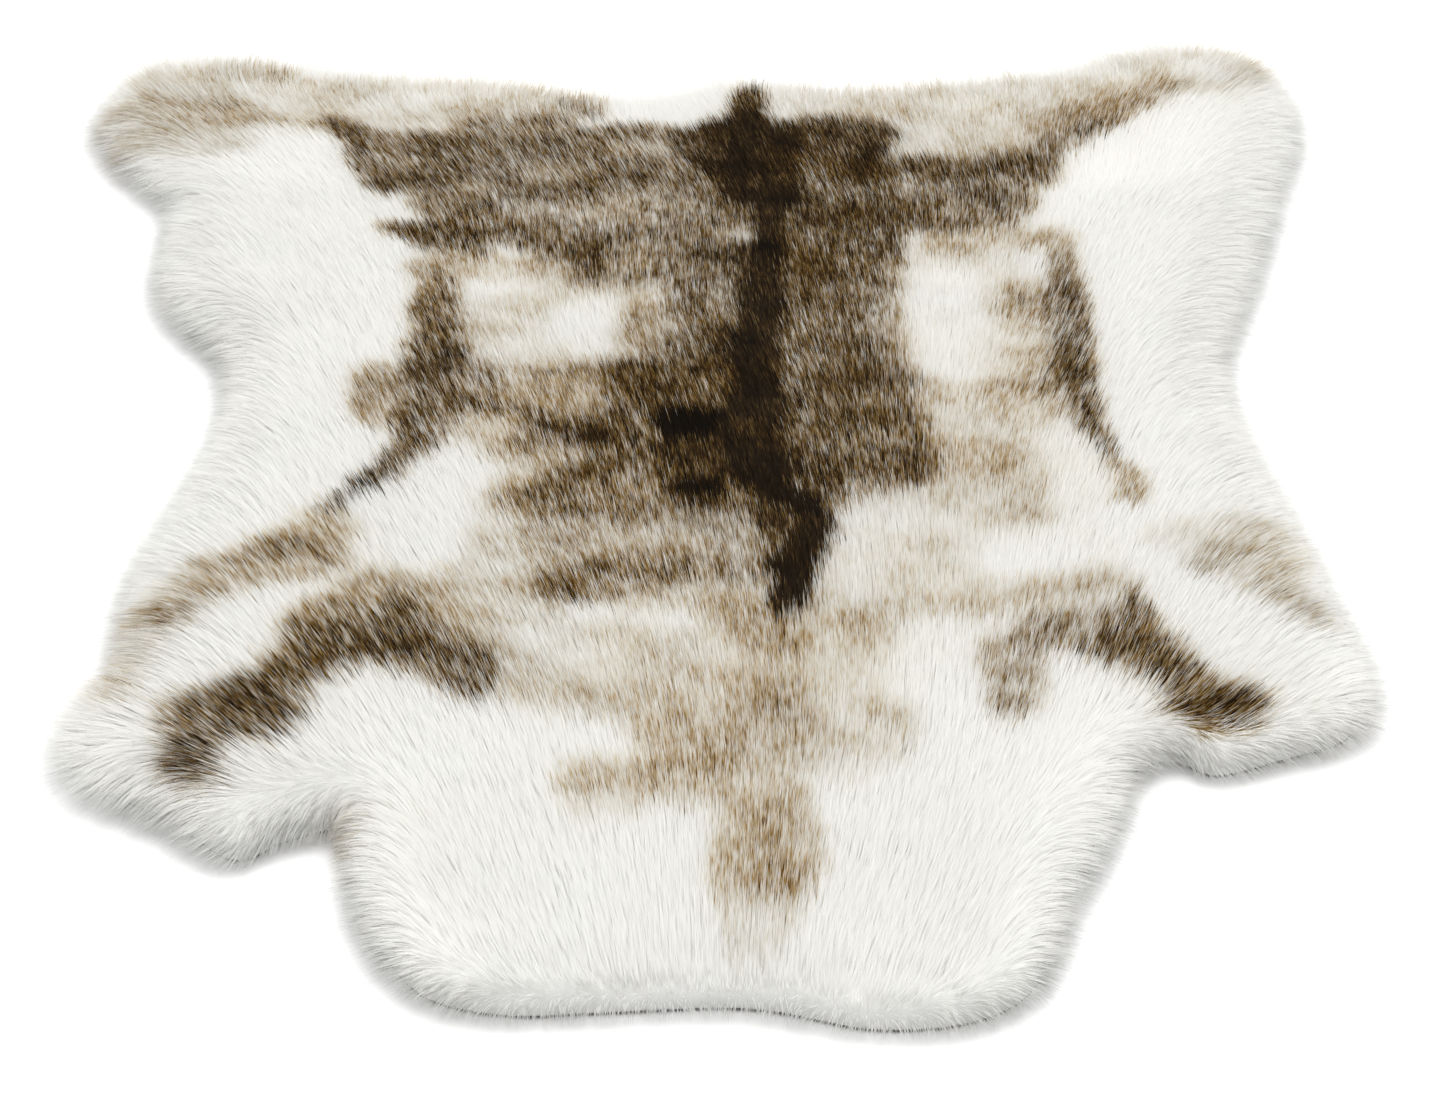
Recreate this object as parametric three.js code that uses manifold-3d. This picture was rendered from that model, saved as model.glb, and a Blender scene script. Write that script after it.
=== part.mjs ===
// A fur rug in the outline of a whole hide, lying flat: long soft pile on a thin cloth backing.
// Lengths are in millimetres. +Z is up and +Y runs from the neck end to the tail end.
import * as THREE from "three";
import { mergeVertices } from "three/addons/utils/BufferGeometryUtils.js";
import Module from "manifold-3d";

// Cloth backing
const CLOTH_THICKNESS = 2;
const CLOTH_GAP = 0.3;

// Pile: its top as it lies, its edge, and the width over which it rounds down to that edge
const PILE_TOP = 36;
const EDGE_TOP = 9;
const ROUND_WIDTH = 34;
const PILE_FOOT = CLOTH_THICKNESS + CLOTH_GAP;

// The slab of pile ends part of the way between the cloth's edge and the locks' tips
const SLAB_SHARE = 0.62;

// Steps of the solid: points round the outline, then rings from the edge to the middle
const OUTLINE_STEPS = 180;
const EDGE_RINGS = [0, 6, 15, 30, 52];
const INNER_RINGS = 9;

// Locks at the rim: how far a root reaches into the slab, the most that a lock swings aside in
// radians, the shortest as a share of the longest, and the width of the crest against the foot
const LOCK_COUNT = 156;
const LOCK_ROOT = 8;
const LOCK_SWING = 0.3;
const LOCK_SHORTEST = 0.55;
const LOCK_CREST = 0.6;

// A lock keeps this far from the cloth with its root and with its tip
const ROOT_CLEARANCE = 3.5;
const TIP_CLEARANCE = 6;

// How far the fur reaches, clockwise from above, with the width of fur past the cloth's edge
const OUTLINE = [
  // left hind leg
  { x: -555, y: 511, cover: 26 },
  { x: -531, y: 562, cover: 26 },
  { x: -478, y: 604, cover: 26 },
  { x: -385, y: 588, cover: 26 },
  // rump, left of the tail
  { x: -285, y: 561, cover: 24 },
  { x: -185, y: 549, cover: 24 },
  { x: -115, y: 526, cover: 24 },
  { x: -45, y: 520, cover: 22 },
  // tail
  { x: 12, y: 560, cover: 20 },
  { x: 55, y: 565, cover: 20 },
  { x: 95, y: 539, cover: 22 },
  // rump, right of the tail
  { x: 150, y: 535, cover: 24 },
  { x: 215, y: 545, cover: 24 },
  { x: 310, y: 569, cover: 24 },
  { x: 365, y: 597, cover: 24 },
  // right hind leg
  { x: 414, y: 623, cover: 26 },
  { x: 466, y: 629, cover: 26 },
  { x: 520, y: 600, cover: 26 },
  { x: 551, y: 540, cover: 26 },
  { x: 538, y: 436, cover: 26 },
  { x: 512, y: 362, cover: 26 },
  // right flank
  { x: 466, y: 212, cover: 26 },
  { x: 424, y: 88, cover: 26 },
  { x: 421, y: 3, cover: 26 },
  // right fore leg
  { x: 440, y: -116, cover: 26 },
  { x: 456, y: -220, cover: 26 },
  { x: 463, y: -318, cover: 22 },
  { x: 445, y: -362, cover: 14 },
  { x: 390, y: -386, cover: 10 },
  { x: 338, y: -407, cover: 15 },
  // notch between the right fore leg and the neck
  { x: 304, y: -392, cover: 16 },
  // neck, right side
  { x: 281, y: -455, cover: 22 },
  { x: 243, y: -532, cover: 20 },
  { x: 216, y: -598, cover: 16 },
  { x: 176, y: -623, cover: 12 },
  // neck, front edge
  { x: 111, y: -630, cover: 10 },
  { x: 36, y: -613, cover: 10 },
  { x: -50, y: -616, cover: 10 },
  { x: -112, y: -618, cover: 10 },
  { x: -166, y: -604, cover: 14 },
  // neck, left side
  { x: -204, y: -562, cover: 20 },
  { x: -222, y: -508, cover: 22 },
  // notch between the neck and the left fore leg
  { x: -228, y: -460, cover: 18 },
  // left fore leg
  { x: -284, y: -490, cover: 16 },
  { x: -350, y: -451, cover: 22 },
  { x: -406, y: -416, cover: 24 },
  { x: -418, y: -368, cover: 26 },
  { x: -399, y: -306, cover: 26 },
  { x: -406, y: -210, cover: 26 },
  // left flank, with two nicks in the fur
  { x: -384, y: -92, cover: 26 },
  { x: -371, y: 0, cover: 24 },
  { x: -379, y: 86, cover: 20 },
  { x: -445, y: 176, cover: 26 },
  { x: -457, y: 250, cover: 26 },
  { x: -457, y: 330, cover: 20 },
  { x: -508, y: 390, cover: 26 },
  { x: -544, y: 454, cover: 26 },
];

// Soft swells of the lie: width of one swell, the way it runs in degrees, and its rise
const SWELLS = [
  { width: 190, way: 20, rise: 1.8 },
  { width: 135, way: -40, rise: 1.6 },
  { width: 90, way: 80, rise: 1.3 },
];

// Places where the pile parts or sinks, each along a line
const PARTINGS = [
  { name: "neck parting", x1: 12, y1: -470, x2: 12, y2: -640, width: 26, depth: 3 },
  { name: "right leg valley", x1: 318, y1: -255, x2: 304, y2: -400, width: 30, depth: 6 },
  { name: "left leg valley", x1: -238, y1: -350, x2: -228, y2: -470, width: 30, depth: 6 },
  { name: "upper left nick", x1: -400, y1: 330, x2: -460, y2: 330, width: 22, depth: 7 },
  { name: "lower left nick", x1: -330, y1: 100, x2: -380, y2: 86, width: 22, depth: 6 },
];

// Sections of one lock: place from the slab's edge (0) to the tip (1), heights and half width
const LOCK_SECTIONS = [
  { name: "root", along: 0, low: 8.4, high: 13, half: 9.5 },
  { name: "knee", along: 0.35, low: 0, high: 7, half: 7.5 },
  { name: "tip", along: 1, low: 0, high: 1.4, half: 1 },
];

const CLOTH_COLOUR = 0x6e6b68;
const FUR_COLOUR = 0xd9d2c8;

// A repeatable number from 0 to 1 for the n-th draw of a kind
function draw(n, kind) {
  const s = Math.sin(n * 12.9898 + kind * 78.233) * 43758.5453;
  return s - Math.floor(s);
}

// Points round the fur's reach, each with its outward direction and its cover past the cloth
function rimStations(count) {
  const corner = (row, z) => new THREE.Vector3(row.x, row.y, z);
  const curve = new THREE.CatmullRomCurve3(
    OUTLINE.map((row) => corner(row, row.cover)),
    true,
    "centripetal",
  );
  const points = curve.getSpacedPoints(count).slice(0, count);
  return points.map((p, i) => {
    const before = points[(i + count - 1) % count];
    const after = points[(i + 1) % count];
    const run = new THREE.Vector2(after.x - before.x, after.y - before.y).normalize();
    const out = new THREE.Vector2(-run.y, run.x);
    return { reach: new THREE.Vector2(p.x, p.y), out, cover: p.z };
  });
}

// The same outline drawn in by a share of the cover: 0 is the reach, 1 the cloth's edge
function drawnIn(stations, share) {
  return stations.map((s) => s.reach.clone().addScaledVector(s.out, -share * s.cover));
}

function distanceToSegment(p, a, b) {
  const run = b.clone().sub(a);
  const t = THREE.MathUtils.clamp(p.clone().sub(a).dot(run) / run.lengthSq(), 0, 1);
  return p.distanceTo(a.clone().addScaledVector(run, t));
}

function distanceToOutline(p, outline) {
  return outline.reduce((least, a, i) => {
    const b = outline[(i + 1) % outline.length];
    return Math.min(least, distanceToSegment(p, a, b));
  }, Infinity);
}

// Rise and fall of the lie at a place, before it rounds down to the edge
function unevenness(p) {
  let rise = 0;
  for (const swell of SWELLS) {
    const way = THREE.MathUtils.degToRad(swell.way);
    const along = p.x * Math.cos(way) + p.y * Math.sin(way);
    rise += swell.rise * Math.sin((2 * Math.PI * along) / swell.width);
  }
  for (const part of PARTINGS) {
    const a = new THREE.Vector2(part.x1, part.y1);
    const b = new THREE.Vector2(part.x2, part.y2);
    rise -= part.depth * Math.exp(-((distanceToSegment(p, a, b) / part.width) ** 2));
  }
  return rise;
}

// Height of the pile's top: a quarter round at the edge, then the uneven lie
function topOfPile(p, slabEdge) {
  const inside = Math.min(distanceToOutline(p, slabEdge) / ROUND_WIDTH, 1);
  const round = Math.sqrt(inside * (2 - inside));
  return EDGE_TOP + (PILE_TOP - EDGE_TOP + unevenness(p)) * round;
}

function meshGeometry(corners, triangles) {
  const geometry = new THREE.BufferGeometry();
  geometry.setAttribute("position", new THREE.Float32BufferAttribute(corners.flat(), 3));
  geometry.setIndex(triangles.flat());
  return geometry;
}

// The slab: flat below, rings of points above that climb from the edge to the middle
function slabGeometry(slabEdge) {
  const n = slabEdge.length;
  const corners = [];
  const triangles = [];
  slabEdge.forEach((p) => corners.push([p.x, p.y, PILE_FOOT]));
  const ringPlaces = (p) => {
    const reach = p.length();
    const inner = reach - EDGE_RINGS.at(-1);
    const places = EDGE_RINGS.map((inset) => reach - inset);
    for (let k = 1; k < INNER_RINGS; k += 1) {
      places.push(inner * (1 - k / INNER_RINGS));
    }
    return places.map((r) => p.clone().multiplyScalar(r / reach));
  };
  const spokes = slabEdge.map(ringPlaces);
  const rings = spokes[0].length;
  for (let k = 0; k < rings; k += 1) {
    spokes.forEach((spoke) => {
      const p = spoke[k];
      corners.push([p.x, p.y, topOfPile(p, slabEdge)]);
    });
  }
  const middle = new THREE.Vector2(0, 0);
  corners.push([0, 0, topOfPile(middle, slabEdge)]);
  corners.push([0, 0, PILE_FOOT]);
  const top = corners.length - 2;
  const foot = corners.length - 1;
  for (let i = 0; i < n; i += 1) {
    const j = (i + 1) % n;
    for (let k = 0; k < rings; k += 1) {
      const a = k * n;
      const b = a + n;
      triangles.push([a + i, b + j, a + j], [a + i, b + i, b + j]);
    }
    triangles.push([rings * n + i, top, rings * n + j]);
    triangles.push([i, j, foot]);
  }
  return meshGeometry(corners, triangles);
}

// One lock: a tapered bar of four sides that bends down to the floor and lies level on it
function lockGeometry(root, way, length) {
  const side = new THREE.Vector2(-way.y, way.x);
  const corners = [];
  for (const section of LOCK_SECTIONS) {
    const out = section.along === 0 ? -LOCK_ROOT : section.along * length;
    const p = root.clone().addScaledVector(way, out);
    const { half, low, high } = section;
    const square = [[-half, low], [half, low], [LOCK_CREST * half, high], [-LOCK_CREST * half, high]];
    square.forEach(([across, z]) => {
      const q = p.clone().addScaledVector(side, across);
      corners.push([q.x, q.y, z]);
    });
  }
  const triangles = [[0, 2, 1], [0, 3, 2]];
  for (let k = 0; k + 1 < LOCK_SECTIONS.length; k += 1) {
    for (let i = 0; i < 4; i += 1) {
      const a = 4 * k + i;
      const b = 4 * k + ((i + 1) % 4);
      triangles.push([a, b, b + 4], [a, b + 4, a + 4]);
    }
  }
  const t = 4 * (LOCK_SECTIONS.length - 1);
  triangles.push([t, t + 1, t + 2], [t, t + 2, t + 3]);
  return meshGeometry(corners, triangles);
}

const wasm = await Module();
wasm.setup();

function solidFrom(geometry) {
  const merged = mergeVertices(geometry, 1e-4);
  return new wasm.Manifold(
    new wasm.Mesh({
      numProp: 3,
      vertProperties: merged.attributes.position.array,
      triVerts: new Uint32Array(merged.index.array),
    }),
  );
}

function geometryFrom(solid) {
  const mesh = solid.getMesh();
  const geometry = new THREE.BufferGeometry();
  geometry.setAttribute("position", new THREE.BufferAttribute(mesh.vertProperties, 3));
  geometry.setIndex(new THREE.BufferAttribute(mesh.triVerts, 1));
  return geometry;
}

// The slab with its locks. In a notch, a lock that would lie over the far side's cloth is left out
function pileGeometry(stations) {
  const clothEdge = drawnIn(stations, 1);
  const rim = rimStations(LOCK_COUNT);
  let pile = solidFrom(slabGeometry(drawnIn(stations, SLAB_SHARE)));
  rim.forEach((station, i) => {
    const root = station.reach.clone().addScaledVector(station.out, -SLAB_SHARE * station.cover);
    const swing = LOCK_SWING * (2 * draw(i, 1) - 1);
    const way = station.out.clone().rotateAround(new THREE.Vector2(), swing);
    const share = THREE.MathUtils.lerp(LOCK_SHORTEST, 1, draw(i, 2));
    const length = SLAB_SHARE * station.cover * share;
    const tip = root.clone().addScaledVector(way, length);
    const rootClear = distanceToOutline(root, clothEdge) > ROOT_CLEARANCE;
    if (rootClear && distanceToOutline(tip, clothEdge) > TIP_CLEARANCE) {
      pile = pile.add(solidFrom(lockGeometry(root, way, length)));
    }
  });
  return geometryFrom(pile);
}

function clothGeometry(stations) {
  const shape = new THREE.Shape(drawnIn(stations, 1));
  return new THREE.ExtrudeGeometry(shape, { depth: CLOTH_THICKNESS, bevelEnabled: false });
}

function named(name, geometry, color) {
  const material = new THREE.MeshStandardMaterial({ color, roughness: 0.95, metalness: 0 });
  const mesh = new THREE.Mesh(geometry, material);
  mesh.name = name;
  return mesh;
}

const stations = rimStations(OUTLINE_STEPS);
const rug = new THREE.Group();
rug.add(named("backing", clothGeometry(stations), CLOTH_COLOUR));
rug.add(named("pile", pileGeometry(stations), FUR_COLOUR));

// The origin is under the middle of the rug's box, on the floor
const box = new THREE.Box3().setFromObject(rug);
const middle = box.getCenter(new THREE.Vector3());
rug.position.set(-middle.x, -middle.y, -box.min.z);

export default rug;
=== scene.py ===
# %% [markdown]
# # A fur rug in the outline of a whole hide
# The rug is one piece of cloth, cut like a hide, with long soft pile on it. The pile is white
# with brown and near-black markings, and hangs over the cloth's edge all round.
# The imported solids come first. They give the outline and the depth of the pile, and everything
# here is worked out from them.

# %% Load the frame
import math
from collections import namedtuple

import bpy
import numpy as np
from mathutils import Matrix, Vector
from mathutils.bvhtree import BVHTree
from mathutils.geometry import delaunay_2d_cdt


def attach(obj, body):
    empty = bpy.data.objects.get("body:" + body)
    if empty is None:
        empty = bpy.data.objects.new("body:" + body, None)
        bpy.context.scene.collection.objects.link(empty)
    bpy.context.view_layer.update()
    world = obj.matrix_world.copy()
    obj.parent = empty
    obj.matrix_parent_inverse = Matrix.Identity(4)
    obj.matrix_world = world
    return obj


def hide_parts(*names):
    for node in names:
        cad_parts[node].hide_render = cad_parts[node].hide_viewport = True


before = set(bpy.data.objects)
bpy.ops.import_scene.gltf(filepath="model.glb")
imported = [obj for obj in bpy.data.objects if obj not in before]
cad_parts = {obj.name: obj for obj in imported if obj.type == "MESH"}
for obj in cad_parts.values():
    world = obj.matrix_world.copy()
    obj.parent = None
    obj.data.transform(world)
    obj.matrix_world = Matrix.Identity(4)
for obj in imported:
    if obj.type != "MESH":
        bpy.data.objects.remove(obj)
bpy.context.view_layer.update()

MM = 0.001

# %% [markdown]
# ## Camera
# The rug is seen from the neck end, from 36 degrees above the floor and from far enough away
# that the far legs look almost as wide as they are. A long lens does that. It could also be
# done with a wide lens close by, but the near edge would then swell.

# %% Place the camera
VIEW_PITCH = math.radians(36)
CAMERA_PLACE = Vector((0.017, -1.787, 1.20))
SENSOR_WIDTH = 36
LENS = 70.8


def link(obj):
    """Put an object in the scene and hand it back."""
    bpy.context.scene.collection.objects.link(obj)
    return obj


camera_data = bpy.data.cameras.new("view from the neck end")
camera_data.sensor_width = SENSOR_WIDTH
camera_data.lens = LENS
camera = link(bpy.data.objects.new("camera", camera_data))
camera.location = CAMERA_PLACE
camera.rotation_euler = (math.pi / 2 - VIEW_PITCH, 0, 0)
bpy.context.scene.camera = camera
print("camera at", tuple(CAMERA_PLACE))

# %% [markdown]
# ## Floor and light
# White fur on a white floor is lit from all round, so that hardly a shadow falls. A bright even
# sky does most of it. One wide lamp hangs over the neck: its hair leans away from the camera and
# would look duller than the sides with the lamp further back. Light may bounce five times,
# because white fur is only bright down to its roots if light bounces from hair to hair.
# The picture is shown in the plain Standard view, which keeps white as white.

# %% Floor, sky and lamp
FLOOR_SIZE = 12.0
FLOOR_DROP = 0.5 * MM
FLOOR_WHITE = 0.94
FLOOR_ROUGHNESS = 0.9
SKY_STRENGTH = 0.98
LAMP_SIZE = 3.0
LAMP_PLACE = (0.3, -0.15, 2.6)
LAMP_TILT = math.radians(6)
LAMP_POWER = 40.5
DIFFUSE_BOUNCES = 5
MOST_BOUNCES = 6


def new_material(name, roughness):
    """A material, and its Principled shader."""
    material = bpy.data.materials.new(name)
    material.use_nodes = True
    surface = material.node_tree.nodes["Principled BSDF"]
    surface.inputs["Roughness"].default_value = roughness
    return material, surface


half = FLOOR_SIZE / 2
floor_corners = [(x, y, -FLOOR_DROP)
                 for x, y in ((-half, -half), (half, -half), (half, half), (-half, half))]
floor_mesh = bpy.data.meshes.new("floor")
floor_mesh.from_pydata(floor_corners, [], [(0, 1, 2, 3)])
pale_floor, pale_surface = new_material("pale floor", FLOOR_ROUGHNESS)
pale_surface.inputs["Base Color"].default_value = (FLOOR_WHITE, FLOOR_WHITE, FLOOR_WHITE, 1)
floor_mesh.materials.append(pale_floor)
floor = link(bpy.data.objects.new("floor", floor_mesh))

world = bpy.data.worlds.new("soft white room")
world.use_nodes = True
sky = world.node_tree.nodes["Background"]
sky.inputs["Color"].default_value = (1, 1, 1, 1)
sky.inputs["Strength"].default_value = SKY_STRENGTH
bpy.context.scene.world = world

lamp_data = bpy.data.lights.new("wide lamp", "AREA")
lamp_data.shape = "DISK"
lamp_data.size = LAMP_SIZE
lamp_data.energy = LAMP_POWER
lamp = link(bpy.data.objects.new("wide lamp", lamp_data))
lamp.location = LAMP_PLACE
lamp.rotation_euler = (0, LAMP_TILT, 0)
bpy.context.scene.view_settings.view_transform = "Standard"
bpy.context.scene.cycles.use_denoising = True
bpy.context.scene.cycles.diffuse_bounces = DIFFUSE_BOUNCES
bpy.context.scene.cycles.max_bounces = MOST_BOUNCES
print("sky", SKY_STRENGTH, "lamp", LAMP_POWER, "W")

# %% [markdown]
# ## The outline
# The cloth's edge and the foot of the pile are read from the solids, so the fur always fits
# them. Both run once round the middle, so sorting their corners by angle puts them in order.
# A smooth curve through the corners then gives the fine steps that an edge needs up close.

# %% Read the cloth's edge and the foot of the pile
EDGE_SUBSTEPS = 4
CLOTH_TOP = 2 * MM
PILE_FOOT = 2.3 * MM
SLAB_SHARE = 0.62


def taken(items, field, width=1, kind=float):
    """One field of many items as an array, with a row for each item if the field is wide."""
    values = np.zeros(len(items) * width, kind)
    items.foreach_get(field, values)
    return values.reshape(-1, width) if width > 1 else values


def ring_at(solid, height, tolerance=0.1 * MM, middle=0.2):
    """The corners of a solid at one height, sorted by angle round the middle."""
    corners = taken(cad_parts[solid].data.vertices, "co", 3)
    ring = corners[np.abs(corners[:, 2] - height) < tolerance][:, :2]
    ring = np.unique(np.round(ring, 5), axis=0)
    ring = ring[np.hypot(ring[:, 0], ring[:, 1]) > middle]
    return ring[np.argsort(np.arctan2(ring[:, 1], ring[:, 0]))]


def smooth_loop(points, substeps):
    """A closed smooth curve through the points, with even steps between each two."""
    p0, p1 = np.roll(points, 1, axis=0), points
    p2, p3 = np.roll(points, -1, axis=0), np.roll(points, -2, axis=0)
    steps = []
    for t in np.arange(substeps) / substeps:
        bend = (2 * p0 - 5 * p1 + 4 * p2 - p3) * t**2 + (3 * p1 - p0 - 3 * p2 + p3) * t**3
        steps.append(0.5 * (2 * p1 + (p2 - p0) * t + bend))
    return np.stack(steps, axis=1).reshape(-1, 2)


cloth_edge = smooth_loop(ring_at("backing", CLOTH_TOP), EDGE_SUBSTEPS)
slab_edge = ring_at("pile", PILE_FOOT)
print("cloth's edge has", len(cloth_edge), "points, foot of the pile", len(slab_edge))

# %% Distance to an edge


def nearest_on_loop(places, loop, batch=2000):
    """For each place, the distance to the loop and the number of the nearest segment."""
    a, b = loop, np.roll(loop, -1, axis=0)
    run = b - a
    length2 = (run**2).sum(axis=1)
    distance, segment = [], []
    for start in range(0, len(places), batch):
        p = places[start:start + batch, None, :]
        t = np.clip(((p - a) * run).sum(axis=2) / length2, 0, 1)
        foot = a + t[..., None] * run
        gap = np.hypot(*np.moveaxis(p - foot, 2, 0))
        best = gap.argmin(axis=1)
        distance.append(gap[np.arange(len(best)), best])
        segment.append(best)
    return np.concatenate(distance), np.concatenate(segment)


LEAST_COVER, MOST_COVER = 8 * MM, 27 * MM
SMOOTH_OVER = 12
slab_overhang, _ = nearest_on_loop(cloth_edge, slab_edge)
edge_cover = np.clip(slab_overhang / (1 - SLAB_SHARE), LEAST_COVER, MOST_COVER)
bell = np.exp(-0.5 * (np.arange(-3 * SMOOTH_OVER, 3 * SMOOTH_OVER + 1) / SMOOTH_OVER) ** 2)
wrapped = np.pad(edge_cover, 3 * SMOOTH_OVER, mode="wrap")
edge_cover = np.convolve(wrapped, bell / bell.sum(), mode="valid")
print("fur hangs past the cloth by", edge_cover.min(), "to", edge_cover.max(), "m")

# %% [markdown]
# ## Cloth backing
# Under the fur lies a dull grey woven cloth. Only its edge shows, as a thin dark line along the
# front of the neck and under a fore leg. It could stay the plain solid, but that has sharp
# corners and a coarse outline. Here it is swept from a rounded section, so its edge catches
# light as a cut and turned cloth does.

# %% Build the cloth backing
CLOTH_ROUND = 0.9 * MM
CLOTH_SECTION = [(-CLOTH_ROUND, 0.0), (-0.25 * MM, 0.3 * MM), (0.0, 1.0 * MM),
                 (-0.25 * MM, 1.7 * MM), (-CLOTH_ROUND, CLOTH_TOP)]


def outward_of(loop):
    """The outward direction at each point of a loop that runs round the middle."""
    run = np.roll(loop, -1, axis=0) - np.roll(loop, 1, axis=0)
    out = np.column_stack([run[:, 1], -run[:, 0]])
    return out / np.linalg.norm(out, axis=1)[:, None]


def swept_disc(name, loop, section):
    """A flat closed piece: the section runs round its edge, and both faces meet in the middle."""
    out = outward_of(loop)
    n = len(loop)
    rings = [np.column_stack([loop + out * inset, np.full(n, z)]) for inset, z in section]
    corners = np.concatenate(rings + [[[0, 0, section[0][1]]], [[0, 0, section[-1][1]]]])
    below, above = len(corners) - 2, len(corners) - 1
    faces = []
    for i in range(n):
        j = (i + 1) % n
        for k in range(len(section) - 1):
            faces.append((k * n + i, k * n + j, (k + 1) * n + j, (k + 1) * n + i))
        faces.append((below, j, i))
        last = (len(section) - 1) * n
        faces.append((above, last + i, last + j))
    mesh = bpy.data.meshes.new(name)
    mesh.from_pydata(corners.tolist(), [], faces)
    mesh.update()
    return link(bpy.data.objects.new(name, mesh))


backing = swept_disc("cloth_backing", cloth_edge, CLOTH_SECTION)


# %% [markdown]
# ## Undercoat
# Between the long hairs a dense short undercoat shows. It is one closed lumpy piece, a bit
# over half as deep as the pile, and the hairs grow from it. Growing every hair from the cloth
# would be truer, but half of each hair would then lie where nobody sees it.
# Its points are an even pattern of triangles inside the cloth's edge, joined by a Delaunay
# triangulation. Their height follows the solid's top, found with a ray from above.

# %% Points of the undercoat
COAT_PITCH = 9 * MM
COAT_CLEAR = 0.55 * COAT_PITCH
COAT_SHARE = 0.60
COAT_ROUND = 26 * MM
COAT_EDGE = 2.2 * MM


def grid_inside(loop, pitch, clear):
    """Points of a triangle pattern that lie inside a loop and at least clear from it."""
    low, high = loop.min(axis=0), loop.max(axis=0)
    row_pitch = pitch * math.sqrt(3) / 2
    rows = np.arange(low[1], high[1], row_pitch)
    columns = np.arange(low[0], high[0], pitch)
    x, y = np.meshgrid(columns, rows)
    x = x + (np.arange(len(rows)) % 2)[:, None] * pitch / 2
    places = np.column_stack([x.ravel(), y.ravel()])
    reach = np.interp(np.arctan2(places[:, 1], places[:, 0]),
                      np.arctan2(loop[:, 1], loop[:, 0]),
                      np.hypot(loop[:, 0], loop[:, 1]), period=2 * math.pi)
    places = places[np.hypot(places[:, 0], places[:, 1]) < reach]
    distance, _ = nearest_on_loop(places, loop)
    return places[distance > clear]


inner = grid_inside(cloth_edge, COAT_PITCH, COAT_CLEAR)
coat_points = np.concatenate([cloth_edge, inner])
print(len(coat_points), "points in the undercoat's top")

# %% Heights of the undercoat
pile_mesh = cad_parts["pile"].data
pile_tree = BVHTree.FromPolygons([v.co for v in pile_mesh.vertices],
                                 [p.vertices for p in pile_mesh.polygons])


def pile_top(place):
    """Height of the solid's top over a place."""
    hit = pile_tree.ray_cast(Vector((place[0], place[1], 1)), Vector((0, 0, -1)))
    return hit[0].z if hit[0] else PILE_FOOT


def eased(t):
    """0 to 1 with a soft start and end."""
    t = np.clip(t, 0, 1)
    return t * t * (3 - 2 * t)


top_height = np.array([pile_top(p) for p in coat_points])
edge_distance, edge_segment = nearest_on_loop(coat_points, cloth_edge)
inside = np.clip(edge_distance / COAT_ROUND, 0, 1)
coat_round = np.sqrt(inside * (2 - inside))
coat_height = PILE_FOOT + COAT_EDGE + (top_height - PILE_FOOT) * COAT_SHARE * coat_round
print("undercoat up to", coat_height.max(), "m, pile up to", top_height.max(), "m")

# %% Join the undercoat's faces
TO_MM = 1 / MM
INSIDE_ONLY = 1
SAME_POINT = 1e-4
n_edge = len(cloth_edge)
loop_edges = [(i, (i + 1) % n_edge) for i in range(n_edge)]
found = delaunay_2d_cdt([Vector(p * TO_MM) for p in coat_points], loop_edges, [],
                        INSIDE_ONLY, SAME_POINT)
coat_faces = [tuple(f) for f in found[2]]
assert len(found[0]) == len(coat_points)
foot_ring = np.column_stack([cloth_edge, np.full(n_edge, PILE_FOOT)])
coat_corners = np.concatenate([np.column_stack([coat_points, coat_height]), foot_ring,
                               [[0, 0, PILE_FOOT]]])
first_foot = len(coat_points)
coat_middle = len(coat_corners) - 1
for i, j in loop_edges:
    coat_faces.append((first_foot + i, first_foot + j, j, i))
    coat_faces.append((first_foot + j, first_foot + i, coat_middle))
coat_mesh = bpy.data.meshes.new("undercoat")
coat_mesh.from_pydata(coat_corners.tolist(), [], coat_faces)
coat_mesh.update()
coat_mesh.shade_smooth()
undercoat = link(bpy.data.objects.new("undercoat", coat_mesh))
print("undercoat has", len(coat_mesh.polygons), "faces")

# %% [markdown]
# ## Which way the hair lies
# The hair of a hide runs from the neck to the tail, and falls to both sides. Near the edge it
# fans out over the cloth and droops. Two directions are kept at each point of the undercoat:
# the one in which a hair rises at its root, and the one in which its tip lies.
# A short table says how far the hair leans, sideways and towards the tail, at places all over
# the hide, and each point takes a soft average of the places near it. A second table gives the
# hair's length along the hide. A third turns the rim's hair on the inner sides of the fore
# legs, where it runs along the edge, and lengthens it at their tips. A brush could paint all
# this, but a table can be read. Places in these tables are millimetres from a point on the back.

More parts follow.
